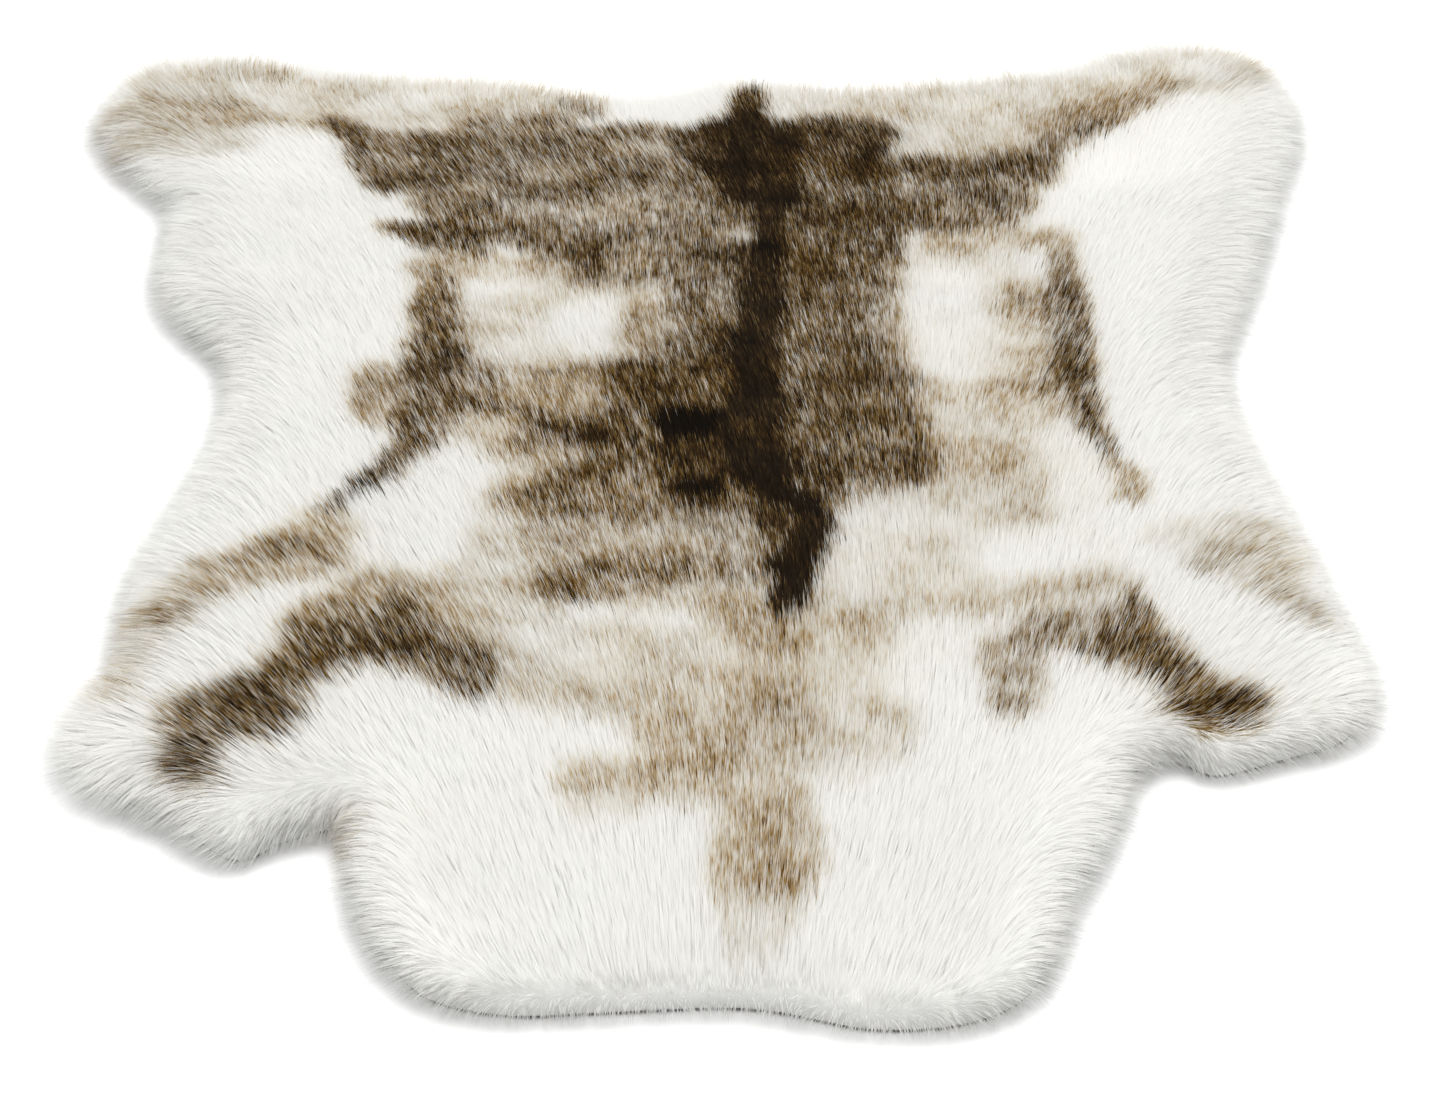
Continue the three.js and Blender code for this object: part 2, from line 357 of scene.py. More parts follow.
# %% Lean and length of the hair
Comb = namedtuple("Comb", "x y lean back")
PLAN_FROM = np.array([0.017, -0.038])
COMB_REACH = 70.0
LEAST_WEIGHT = 1e-12
COMBED = [Comb(*row) for row in (
    (-520, 540, -0.9, 0.3), (-400, 500, -0.75, 0.35), (-260, 430, -0.58, 0.4),
    (-120, 430, -0.48, 0.42), (30, 430, -0.42, 0.42), (140, 430, -0.38, 0.42),
    (240, 430, -0.25, 0.42), (330, 500, 0.25, 0.4), (430, 560, 0.6, 0.35), (520, 540, 0.9, 0.3),
    (-420, 250, -0.8, 0.45), (-280, 260, -0.5, 0.48), (-160, 250, -0.15, 0.5),
    (-40, 250, -0.02, 0.5), (100, 250, -0.25, 0.5), (170, 260, -0.1, 0.5), (240, 260, 0.2, 0.5),
    (300, 250, 0.4, 0.48), (420, 300, 0.75, 0.45), (-360, 60, -0.72, 0.52),
    (-250, 60, -0.45, 0.55), (-150, 70, -0.36, 0.58), (-40, 70, -0.3, 0.58), (70, 60, -0.38, 0.58),
    (160, 60, -0.03, 0.58), (220, 60, 0.35, 0.58), (300, 60, 0.45, 0.55), (390, 60, 0.7, 0.52),
    (-340, -90, -0.68, 0.55), (-230, -90, -0.52, 0.6), (-130, -90, -0.33, 0.64),
    (-30, -90, -0.18, 0.66), (80, -90, -0.28, 0.66), (150, -90, -0.08, 0.64),
    (230, -90, 0.28, 0.62), (380, -100, 0.65, 0.55), (-370, -200, -0.72, 0.45),
    (-250, -200, -0.62, 0.62), (-140, -200, -0.55, 0.68), (-40, -200, -0.32, 0.72),
    (60, -200, -0.1, 0.74), (150, -210, -0.02, 0.74), (250, -200, 0.32, 0.66),
    (390, -220, 0.75, 0.45), (-400, -350, -0.95, 0.05), (-300, -320, -0.75, 0.4),
    (-200, -310, -0.5, 0.66), (-100, -320, -0.36, 0.74), (-10, -320, -0.2, 0.76),
    (80, -320, 0.02, 0.76), (170, -310, 0.2, 0.74), (260, -310, 0.38, 0.6),
    (350, -330, 0.75, 0.15), (430, -310, 0.95, 0.05), (-340, -430, -0.9, -0.45),
    (-270, -450, -0.7, -0.4), (-190, -420, -0.45, 0.6), (-90, -440, -0.34, 0.75),
    (-15, -440, -0.12, 0.78), (40, -440, 0.22, 0.78), (130, -440, 0.32, 0.75),
    (230, -420, 0.5, 0.55), (330, -390, 0.55, -0.4), (-180, -560, -0.6, 0.45),
    (-90, -570, -0.35, 0.62), (-15, -570, -0.12, 0.65), (40, -570, 0.2, 0.65),
    (130, -570, 0.35, 0.6), (200, -550, 0.6, 0.45),
)]
Along = namedtuple("Along", "y length")
LENGTHS = [Along(-602, 22), Along(-522, 29), Along(-362, 32), Along(-62, 29),
           Along(238, 26), Along(638, 24)]
Rim = namedtuple("Rim", "place x y reach turn_x turn_y longer")
RIM_PLACES = [
    Rim("left fore leg, inner side", -282, -445, 60, -1.1, -0.9, 0.0),
    Rim("right fore leg, inner side", 335, -375, 50, 1.1, -0.9, 0.0),
    Rim("left fore leg, tip", -429, -347, 60, 0.0, 0.0, 0.4),
    Rim("right fore leg, tip", 441, -292, 60, 0.0, 0.0, 0.4),
]
TIP_BEND = 1.7
FAN_PER_COVER = 4.6
FAN_FROM_COVER = 7.5 * MM
FAN_LEAST = 10 * MM
FAN_RISE, FAR_RISE = 0.55, 0.75
FAN_DROOP, FAR_DROOP = -0.30, 0.55
EDGE_LENGTH, FAR_LENGTH = 1.5, 0.45
RIM_LENGTH = 19 * MM
TALLEST = 45.5 * MM
LONGEST_SHARE = 1.1
LEAST_SHARE = 0.5
LEAST_REACH = 0.001 * MM


def unit(vectors):
    """Vectors of length one."""
    return vectors / np.linalg.norm(vectors, axis=1)[:, None]


plan_x, plan_y = ((coat_points - PLAN_FROM) * TO_MM).T


def near(spot, reach):
    """1 at a spot in a table, and less the further a point of the undercoat lies from it."""
    return np.exp(-((plan_x - spot.x)**2 + (plan_y - spot.y)**2) / reach**2)


weights = np.array([near(c, COMB_REACH) for c in COMBED]) + LEAST_WEIGHT
weights /= weights.sum(axis=0)
lean_x = weights.T @ np.array([c.lean for c in COMBED])
lean_y = weights.T @ np.array([c.back for c in COMBED])
inner_length = np.interp(plan_y, [a.y for a in LENGTHS], [a.length for a in LENGTHS]) * MM
out_2d = outward_of(cloth_edge)[edge_segment]
rim_longer = 1.0
for rim in RIM_PLACES:
    share = near(rim, rim.reach)
    out_2d = out_2d + share[:, None] * np.array([rim.turn_x, rim.turn_y])
    rim_longer = rim_longer * (1 + rim.longer * share)
out_2d = unit(out_2d)
fan_width = (edge_cover[edge_segment] - FAN_FROM_COVER) * FAN_PER_COVER
fan_width = np.maximum(fan_width, FAN_LEAST)
fan = 1 - eased(edge_distance / fan_width)
fan = fan[:, None]
ones = np.ones(len(coat_points))
inner_rise = unit(np.column_stack([lean_x, lean_y, ones]))
inner_lay = unit(np.column_stack([TIP_BEND * lean_x, TIP_BEND * lean_y, ones]))
far = eased(out_2d[:, 1])
edge_rise = unit(np.column_stack([out_2d, FAN_RISE + FAR_RISE * far]))
edge_lay = unit(np.column_stack([out_2d, FAN_DROOP + FAR_DROOP * far]))
rise = unit(inner_rise * (1 - fan) + edge_rise * fan)
lay = unit(inner_lay * (1 - fan) + edge_lay * fan)
edge_length = edge_cover[edge_segment] * (EDGE_LENGTH + FAR_LENGTH * far)
edge_length = np.maximum(edge_length, RIM_LENGTH) * rim_longer
hair_length = inner_length * (1 - fan[:, 0]) + edge_length * fan[:, 0]
reach_up = 0.5 * (rise[:, 2] + lay[:, 2]) * hair_length * LONGEST_SHARE
room_above = TALLEST - coat_height
room_share = room_above / np.maximum(reach_up, LEAST_REACH)
hair_length = hair_length * np.clip(room_share, LEAST_SHARE, 1)
print("hair from", hair_length.min(), "to", hair_length.max(), "m long")

# %% Keep them on the undercoat


def drop(mesh, *names):
    """Take named attributes off a mesh, if it has them."""
    for name in names:
        if mesh.attributes.get(name):
            mesh.attributes.remove(mesh.attributes[name])


def store(mesh, name, kind, values, domain="POINT"):
    """Write an array to a named attribute of a mesh."""
    drop(mesh, name)
    layer = mesh.attributes.new(name, kind, domain)
    field = "vector" if kind == "FLOAT_VECTOR" else "value"
    layer.data.foreach_set(field, np.ascontiguousarray(values).ravel())


def padded_to(values, count):
    """The same values, with rows of zeros up to a count."""
    extra = [(0, count - len(values))] + [(0, 0)] * (values.ndim - 1)
    return np.pad(values, extra)


def keep_on_coat(**layers):
    """Store arrays on the undercoat under their names, with zeros for its foot."""
    print("undercoat keeps", *layers)
    for name, values in layers.items():
        kind = "FLOAT_VECTOR" if values.ndim == 2 else "FLOAT"
        store(coat_mesh, name, kind, padded_to(values, len(coat_corners)))


EDGE_THIN = 0.45
keep_on_coat(rise=rise, lay=lay, hair=hair_length, thick=1 - EDGE_THIN * fan[:, 0],
             ragged=fan[:, 0])

# %% [markdown]
# ## Markings
# The markings are those of a natural hide: a near-black stripe down the back, a brown saddle,
# and brown and tan patches towards the legs and neck. Each row of the table is one soft stroke
# from one place to another, with its width at both ends, its tone from 0, white, to 1, black,
# how softly its edge fades, and how golden its brown is. Lengths are in millimetres. Later rows
# lie over earlier ones. Noise bends the strokes and mottles them, so that no edge is straight.
# A painted picture would also do, but strokes stay sharp at any size and can be moved by hand.

# %% Table of markings
Mark = namedtuple("Mark", "place x1 y1 x2 y2 w1 w2 tone soft gold")
MARKINGS = [Mark(*row) for row in (
    # soft ground of the body
    ("body, left", -95, 75, -85, -215, 270, 210, 0.19, 60, 0.6),
    ("body, right", 195, 215, 185, -60, 140, 120, 0.09, 40, 0.5),
    ("body, lower right", 130, -120, 110, -200, 150, 140, 0.11, 50, 0.5),
    ("lower middle", -55, -230, 55, -320, 170, 150, 0.11, 44, 0.6),
    ("white oval, left", -197, -55, -213, -145, 78, 76, 0.02, 22, 0.5),
    ("white, right", 266, -25, 262, -150, 50, 60, 0.02, 20, 0.5),
    ("white, right fore leg", 205, -155, 300, -150, 34, 50, 0.02, 16, 0.5),
    ("white hole", 150, -250, 152, -285, 62, 66, 0.02, 16, 0.5),
    # hind legs and the far edge
    ("left hind leg", -490, 575, -430, 575, 90, 90, 0.14, 28, 0.4),
    ("left hind leg, inner", -515, 492, -440, 480, 92, 70, 0.14, 28, 0.4),
    ("far edge, left", -400, 535, -140, 530, 90, 80, 0.13, 26, 0.5),
    ("left hind leg, band", -505, 522, -440, 518, 44, 40, 0.2, 30, 0.7),
    ("left hind leg, band end", -440, 512, -350, 496, 42, 34, 0.25, 24, 0.8),
    ("far edge, right", 95, 535, 330, 550, 80, 70, 0.11, 24, 0.4),
    ("far edge, right, lower", 185, 478, 270, 478, 90, 90, 0.11, 24, 0.4),
    ("right hind leg", 385, 592, 475, 602, 80, 84, 0.09, 24, 0.3),
    ("right hind leg, band", 305, 490, 400, 565, 70, 40, 0.2, 18, 0.6),
    ("right hind leg, streak", 335, 485, 385, 530, 24, 16, 0.34, 12, 0.7),
    # saddle, left of the stripe
    ("saddle, outer streak", -340, 490, -300, 455, 22, 50, 0.48, 12, 0.6),
    ("saddle, outer edge", -300, 455, -278, 390, 50, 56, 0.54, 12, 0.5),
    ("saddle, upper", -255, 425, -20, 425, 110, 112, 0.46, 16, 0.4),
    ("saddle, middle", -210, 355, 120, 345, 96, 120, 0.45, 16, 0.4),
    ("saddle, lower", -205, 314, -40, 264, 44, 86, 0.48, 18, 0.5),
    ("saddle, spike", -284, 304, -215, 292, 8, 50, 0.5, 9, 0.6),
    ("saddle, spike foot", -245, 280, -205, 266, 28, 30, 0.47, 12, 0.5),
    ("saddle, tooth", -122, 255, -108, 228, 56, 44, 0.5, 14, 0.4),
    ("tan beside the tooth", -62, 264, -60, 222, 40, 44, 0.38, 22, 0.6),
    ("saddle, pale top", -215, 480, -135, 484, 34, 34, 0.33, 20, 0.5),
    ("saddle, dark top", -95, 470, -40, 470, 34, 34, 0.52, 10, 0.5),
    ("saddle, grey light", -185, 338, -150, 330, 40, 30, 0.35, 24, 0.0),
    ("saddle, dark cloud", -120, 392, -60, 380, 30, 30, 0.52, 24, 0.6),
    ("saddle, dark corner", -215, 315, -150, 305, 26, 26, 0.54, 18, 0.6),
    ("saddle, left hollow", -335, 344, -262, 334, 40, 14, 0.0, 12, 0.5),
    ("spot by the tail", -140, 532, -114, 514, 14, 20, 0.4, 12, 0.3),
    # columns beside the stripe
    ("left column", -8, 250, -5, 110, 84, 70, 0.52, 14, 0.3),
    ("left column, grey light", -40, 190, -34, 115, 22, 26, 0.33, 22, 0.2),
    ("right column", 104, 450, 103, -36, 102, 96, 0.6, 20, 0.5),
    ("right column, head", 95, 478, 140, 478, 44, 40, 0.6, 14, 0.3),
    ("right column, dark cloud", 80, 250, 90, 200, 40, 40, 0.68, 24, 0.7),
    ("right column, dark foot", 100, 60, 110, 0, 50, 50, 0.64, 24, 0.7),
    ("right column, foot", 130, 8, 146, -42, 60, 52, 0.58, 22, 0.8),
    ("right column, light below", 112, -34, 120, -62, 28, 32, 0.34, 24, 0.2),
    ("right column, grey light", 130, 185, 130, 125, 20, 26, 0.42, 24, 0.0),
    # cream oval and the left band
    ("tan over the oval", -228, 240, -140, 232, 40, 40, 0.22, 22, 0.9),
    ("cream oval", -108, 160, -102, 118, 70, 68, 0.02, 36, 0.5),
    ("cream oval, left", -172, 176, -165, 120, 60, 62, 0.13, 30, 0.5),
    ("cream oval, below", -165, 108, -125, 102, 44, 44, 0.05, 26, 0.5),
    ("tan right of the oval", -58, 195, -66, 130, 22, 30, 0.24, 24, 0.7),
    ("tan left of the band", -262, 72, -250, 22, 42, 38, 0.26, 16, 0.8),
    ("left band, top", -228, 225, -225, 180, 24, 34, 0.44, 18, 0.5),
    ("left band, upper", -225, 180, -220, 110, 36, 36, 0.47, 18, 0.6),
    ("left band, dark core", -224, 212, -222, 182, 14, 18, 0.56, 16, 0.4),
    ("left band", -218, 110, -215, 30, 42, 46, 0.46, 16, 0.5),
    ("left band, foot", -215, 30, -226, -25, 50, 30, 0.5, 10, 0.4),
    ("left band, tail", -226, -25, -252, -66, 28, 18, 0.58, 7, 0.3),
    ("left band, tip", -252, -66, -282, -108, 16, 6, 0.66, 5, 0.2),
    ("left arm, spot", -180, 78, -169, 58, 24, 22, 0.45, 12, 0.3),
    ("left arm, outer", -200, 50, -150, 22, 28, 30, 0.43, 12, 0.5),
    ("left arm, inner", -150, 22, -100, -2, 30, 34, 0.5, 12, 0.6),
    ("left arm, golden", -118, 62, -108, 40, 56, 46, 0.29, 24, 1.0),
    # middle block
    ("tan left of the block", -128, -30, -135, -80, 46, 50, 0.27, 18, 0.9),
    ("block, golden top", -62, 62, 0, 60, 58, 64, 0.58, 14, 0.9),
    ("block", -60, -5, 120, -12, 80, 90, 0.62, 16, 0.7),
    ("block, lower", -80, -72, 62, -72, 70, 72, 0.62, 20, 0.7),
    ("block, foot", -118, -97, -60, -97, 46, 44, 0.5, 18, 0.8),
    ("grey light over the bar", -110, -138, -20, -140, 40, 44, 0.21, 20, 0.2),
    ("grey light by the stripe", -2, -132, 16, -185, 40, 30, 0.29, 18, 0.0),
    ("bar, left", -142, -200, -90, -196, 32, 40, 0.45, 18, 0.5),
    ("bar", -90, -186, -15, -168, 46, 50, 0.43, 22, 0.9),
    # dark stripe down the back
    ("tail", 31, 547, 32, 500, 34, 36, 0.68, 9, 0.4),
    ("dark between the arms", -22, -34, 12, -44, 46, 60, 0.76, 20, 0.5),
    ("shield, top", -20, 470, 60, 472, 34, 38, 0.79, 10, 0.2),
    ("shield, corner", 56, 474, 66, 472, 36, 30, 0.76, 12, 0.2),
    ("shield", 22, 450, 38, 372, 104, 72, 0.78, 11, 0.2),
    ("shield, dark heart", 26, 405, 42, 388, 44, 54, 0.9, 18, 0.3),
    ("shield, right foot", 50, 372, 52, 342, 50, 36, 0.8, 12, 0.2),
    ("stripe, top", 43, 340, 43, 262, 30, 24, 0.84, 10, 0.2),
    ("stripe, neck", 44, 262, 40, 205, 26, 38, 0.84, 14, 0.2),
    ("stripe, middle", 38, 205, 36, 100, 40, 40, 0.84, 16, 0.3),
    ("stripe, lower", 36, 100, 33, 25, 40, 42, 0.86, 16, 0.3),
    ("dark arm", -32, 4, 18, 2, 42, 38, 1.0, 14, 0.7),
    ("dark arm, tip", -42, 16, -38, -22, 14, 14, 0.98, 9, 0.6),
    ("second dark arm", -28, -78, -10, -78, 28, 30, 0.97, 12, 0.6),
    ("stripe, knee", 28, 25, 30, -50, 44, 52, 0.86, 12, 0.3),
    ("stripe, inside the bend", 36, -98, 42, -170, 30, 26, 0.7, 12, 0.2),
    ("stripe, bend", 22, -66, 58, -92, 22, 30, 0.93, 9, 0.4),
    ("stripe, below the bend", 58, -92, 70, -126, 34, 26, 0.93, 8, 0.4),
    ("stripe, shin", 68, -126, 52, -176, 28, 30, 0.88, 9, 0.2),
    ("stripe, foot", 52, -165, 48, -205, 32, 30, 0.92, 9, 0.3),
    ("stripe, tip", 46, -205, 42, -245, 20, 8, 0.84, 8, 0.3),
    # saddle, right of the stripe
    ("right saddle, upper", 185, 396, 262, 404, 68, 66, 0.47, 18, 0.3),
    ("right saddle, lower", 182, 352, 236, 350, 84, 80, 0.45, 18, 0.3),
    ("right saddle, foot", 172, 318, 228, 314, 36, 34, 0.47, 16, 0.4),
    ("right saddle, arm", 272, 425, 322, 474, 40, 18, 0.46, 16, 0.1),
    ("right saddle, dark top", 195, 410, 245, 410, 22, 24, 0.54, 22, 0.3),
    ("right saddle, dark side", 238, 350, 246, 318, 28, 28, 0.52, 20, 0.1),
    ("right saddle, golden foot", 150, 330, 195, 308, 28, 28, 0.58, 18, 0.8),
    ("tan under the right saddle", 185, 276, 280, 284, 32, 36, 0.2, 22, 0.7),
    # right band and the patches below it
    ("white, right panel", 180, 205, 178, 112, 74, 74, 0.03, 44, 0.5),
    ("tan beside the right band", 248, 205, 246, 80, 30, 32, 0.2, 28, 0.6),
    ("right band, top", 286, 262, 279, 190, 18, 34, 0.44, 16, 0.2),
    ("right band", 278, 190, 274, 80, 36, 32, 0.46, 16, 0.2),
    ("right band, foot", 272, 80, 278, 0, 30, 16, 0.54, 11, 0.3),
    ("right band, tail", 280, 0, 296, -52, 17, 9, 0.62, 7, 0.2),
    ("right band, tip", 296, -52, 301, -80, 22, 26, 0.24, 12, 0.5),
    ("right arm", 205, 52, 250, 56, 18, 22, 0.42, 10, 0.6),
    ("right arm, hook", 248, 56, 254, 28, 16, 10, 0.5, 8, 0.4),
    ("tan under the right arm", 180, 45, 235, 28, 54, 44, 0.17, 26, 0.8),
    ("tan, right", 195, -20, 203, -98, 70, 68, 0.13, 26, 0.5),
    ("tan, right, golden", 180, -25, 200, -40, 40, 36, 0.23, 26, 1.0),
    # fore legs
    ("left leg band, top", -276, -122, -300, -160, 40, 58, 0.21, 22, 0.8),
    ("left leg band", -290, -160, -350, -185, 54, 40, 0.27, 18, 0.9),
    ("left leg band, side", -350, -185, -395, -240, 42, 42, 0.2, 20, 0.8),
    ("left leg band, end", -395, -240, -405, -300, 40, 30, 0.12, 20, 0.4),
    ("tan over the left leg", -240, -196, -150, -205, 40, 50, 0.18, 20, 0.5),
    ("white oval, heart", -203, -62, -214, -138, 56, 54, 0.01, 26, 0.5),
    ("left leg, upper", -262, -245, -215, -245, 62, 66, 0.42, 14, 0.8),
    ("left leg, right", -215, -248, -176, -275, 60, 56, 0.46, 12, 0.4),
    ("left leg, right end", -175, -275, -165, -296, 50, 38, 0.48, 8, 0.2),
    ("left leg, link", -268, -262, -290, -305, 54, 46, 0.45, 9, 0.8),
    ("left leg, lower", -292, -312, -335, -335, 54, 50, 0.49, 9, 0.8),
    ("left leg, lower tooth", -290, -325, -292, -346, 34, 16, 0.49, 7, 0.6),
    ("left leg, foot", -340, -340, -340, -366, 52, 42, 0.46, 11, 0.5),
    ("left leg, foot tip", -338, -366, -332, -392, 38, 20, 0.45, 12, 0.1),
    # the cream in the left notch is partly the hair's own colour and partly painted shade in the
    # notch
    ("left notch, cream", -240, -425, -248, -460, 26, 36, 0.13, 18, 1.0),
    ("tan over the right leg", 148, -195, 185, -205, 48, 42, 0.21, 20, 0.8),
    ("beige over the right leg", 188, -205, 280, -190, 34, 34, 0.17, 16, 0.5),
    ("right leg, left fringe", 188, -255, 185, -300, 18, 24, 0.2, 10, 0.5),
    ("right leg, bar", 222, -241, 276, -241, 42, 48, 0.34, 14, 0.4),
    ("right leg, spike", 287, -200, 289, -225, 8, 16, 0.55, 5, 0.3),
    ("right leg, left limb", 205, -258, 206, -290, 26, 20, 0.36, 12, 0.3),
    ("right leg, knob", 200, -304, 192, -318, 32, 34, 0.38, 12, 0.3),
    ("right leg, link", 262, -256, 292, -278, 36, 36, 0.42, 12, 0.7),
    ("right leg, upper", 300, -268, 314, -302, 28, 36, 0.47, 12, 0.8),
    ("right leg, lower", 316, -312, 346, -320, 36, 32, 0.55, 11, 0.9),
    ("right leg, tip", 322, -318, 318, -336, 22, 10, 0.52, 10, 0.6),
    ("right leg, beige", 325, -138, 375, -150, 40, 78, 0.14, 18, 0.5),
    ("right leg, beige foot", 370, -160, 402, -205, 62, 42, 0.14, 18, 0.2),
    ("right leg, grey streak", 330, -168, 346, -175, 13, 13, 0.27, 12, 0.1),
    ("right leg, grey rim", 392, -185, 412, -225, 14, 20, 0.21, 14, 0.2),
    # neck
    ("pale over the neck", -60, -232, -20, -238, 34, 30, 0.09, 20, 0.5),
    ("golden over the neck", 5, -225, 45, -262, 50, 44, 0.22, 26, 1.0),
    ("golden, right", 75, -222, 92, -238, 36, 32, 0.22, 24, 1.0),
    ("middle of the neck", -20, -320, 45, -330, 76, 76, 0.14, 28, 0.8),
    ("middle of the neck, gold", 18, -318, 36, -325, 34, 34, 0.24, 26, 0.9),
    ("neck, right arm", 70, -335, 108, -346, 56, 42, 0.17, 16, 0.6),
    ("white beside the blob", 75, -382, 118, -384, 12, 18, 0.02, 10, 0.3),
    ("neck, waist", -15, -355, -5, -390, 70, 60, 0.18, 20, 0.8),
    ("neck, left arm", -76, -406, -30, -402, 54, 58, 0.16, 16, 0.6),
    ("neck, left arm, gold", -30, -392, 0, -396, 34, 40, 0.22, 20, 1.0),
    ("neck, blob", 32, -412, 31, -470, 60, 64, 0.19, 16, 0.9),
    ("neck, lower blob", 30, -475, 26, -522, 60, 46, 0.19, 16, 0.8),
    ("neck, tip", 24, -520, 10, -552, 40, 12, 0.15, 16, 0.6),
    ("neck, golden spot", 22, -430, 34, -480, 24, 28, 0.28, 22, 1.0),
)]
print(len(MARKINGS), "strokes")

# %% Noise and the tone of the coat
BENDS = ((44.0, 5.0), (14.0, 3.5))
MOTTLES = ((60.0, 0.13), (27.0, 0.25), (12.0, 0.25))
MOTTLE_STRETCH = 1.7
MOTTLE_SHARE = 2.4
SOLID_FROM = 0.98
GOLD_DRIFT, GOLD_DRIFT_SIZE = 0.35, 38.0
FIRST_TURN, NEXT_TURN = 0.7, 1.1
# these turn a place in a grid into a number that looks like chance
SHUFFLE_X, SHUFFLE_Y, SHUFFLE_SEED, SHUFFLE_SPREAD = 127.1, 311.7, 74.7, 43758.5453
LEAST_RUN = 1e-9


def noise(x, y, size, seed):
    """Smooth noise from -1 to 1, with soft blobs about size across and turned with the seed."""
    turn = FIRST_TURN + NEXT_TURN * seed
    u = (x * math.cos(turn) - y * math.sin(turn)) / size
    v = (x * math.sin(turn) + y * math.cos(turn)) / size
    iu, iv = np.floor(u), np.floor(v)
    fu, fv = eased(u - iu), eased(v - iv)

    def at(a, b):
        mixed = np.sin(a * SHUFFLE_X + b * SHUFFLE_Y + seed * SHUFFLE_SEED) * SHUFFLE_SPREAD
        return 2 * (mixed - np.floor(mixed)) - 1

    low = at(iu, iv) * (1 - fu) + at(iu + 1, iv) * fu
    high = at(iu, iv + 1) * (1 - fu) + at(iu + 1, iv + 1) * fu
    return low * (1 - fv) + high * fv


def stroke_share(mark, x, y):
    """How much of a stroke lies on each place, from 0 to 1."""
    rx, ry = mark.x2 - mark.x1, mark.y2 - mark.y1
    run = rx * rx + ry * ry + LEAST_RUN
    t = np.clip(((x - mark.x1) * rx + (y - mark.y1) * ry) / run, 0, 1)
    gap = np.hypot(x - mark.x1 - t * rx, y - mark.y1 - t * ry)
    half_width = 0.5 * (mark.w1 + (mark.w2 - mark.w1) * t)
    return eased(0.5 + (half_width - gap) / mark.soft)


def coat_at(places):
    """The coat at places in metres: its tone from 0, white, to 1, black, and how golden it is."""
    x, y = ((places[:, :2] - PLAN_FROM) * TO_MM).T
    bx, by = x, y
    for k, (size, bend) in enumerate(BENDS):
        bx = bx + bend * noise(x, y, size, 1 + k)
        by = by + bend * noise(x, y, size, 3 + k)
    tone = np.zeros(len(x))
    gold = np.full(len(x), 0.5)
    for mark in MARKINGS:
        share = stroke_share(mark, bx, by)
        tone += (mark.tone - tone) * share
        gold += (mark.gold - gold) * share
    wide = x / MOTTLE_STRETCH
    mottle = sum(more * noise(wide, y, size, 5 + k) for k, (size, more) in enumerate(MOTTLES))
    tone = tone + mottle * MOTTLE_SHARE * tone * np.clip(SOLID_FROM - tone, 0, 1)
    gold = gold + GOLD_DRIFT * noise(x, y, GOLD_DRIFT_SIZE, 11)
    return np.clip(tone, 0, 1), gold


under_tone, under_gold = coat_at(coat_points)
keep_on_coat(coat=under_tone, gold=under_gold, strand=np.full(len(coat_corners), 0.5),
             along=np.zeros(len(coat_corners)))
print("tones of the undercoat from", under_tone.min(), "to", under_tone.max())

# %% [markdown]
# ## Colour of fur
# The undercoat and the hairs share one effect: a tone, from white through cream, tan and brown
# to near black, becomes a colour. Each tone has a greyish and a golden form, and the fur holds
# every mix of the two. Brown hair is darker at its root, a painted shade that also darkens brown
# undercoat all over, and banded dark and light along its length, each hair in its own step.
# White and near-black hair is plain. All fur low down, which shows only at the rim, is darker
# towards the floor, a painted shade. The effect is a node group with named inputs, built once
# and placed in both materials. The hair lets some light through, and the undercoat doesn't.

# %% Node group for the colour of fur
# painted shade: all fur gets darker the lower it lies, from the floor up to this height
PAINTED_LOW_SHADE = 0.50
PAINTED_SHADE_UP_TO = 24 * MM
BANDS = 2.3
BAND_DEPTH = 0.42
BAND_ONSET = 1.6
ROOT_ONSET = 3.0
ROOT_FADE = 0.7
# numbers of a mix node's colour sockets
MIX_FROM, MIX_TO, MIX_OUT = 6, 7, 2
Stop = namedtuple("Stop", "tone grey_red grey_green grey_blue gold_red gold_green gold_blue")
COAT_COLOURS = [
    Stop(0.00, 0.965, 0.965, 0.950, 0.965, 0.960, 0.935),
    Stop(0.16, 0.830, 0.812, 0.768, 0.842, 0.797, 0.705),
    Stop(0.30, 0.645, 0.562, 0.425, 0.672, 0.532, 0.315),
    Stop(0.46, 0.415, 0.280, 0.115, 0.450, 0.268, 0.056),
    Stop(0.62, 0.186, 0.111, 0.044, 0.200, 0.100, 0.018),
    Stop(0.80, 0.060, 0.039, 0.021, 0.058, 0.031, 0.010),
    Stop(1.00, 0.012, 0.009, 0.006, 0.012, 0.008, 0.004),
]


def node(tree, kind, **settings):
    """Add a node with some of its settings."""
    made = tree.nodes.new(kind)
    for name, value in settings.items():
        setattr(made, name, value)
    return made


def wire(tree, source, target):
    """Join an output to an input."""
    tree.links.new(source, target)


def maths(tree, operation, a, b=None):
    """A maths node whose inputs are sockets or plain numbers. Gives its output."""
    made = node(tree, "ShaderNodeMath", operation=operation)
    for socket, value in zip(made.inputs, (a, b)):
        if value is None:
            continue
        if isinstance(value, bpy.types.NodeSocket):
            wire(tree, value, socket)
        else:
            socket.default_value = value
    return made.outputs[0]


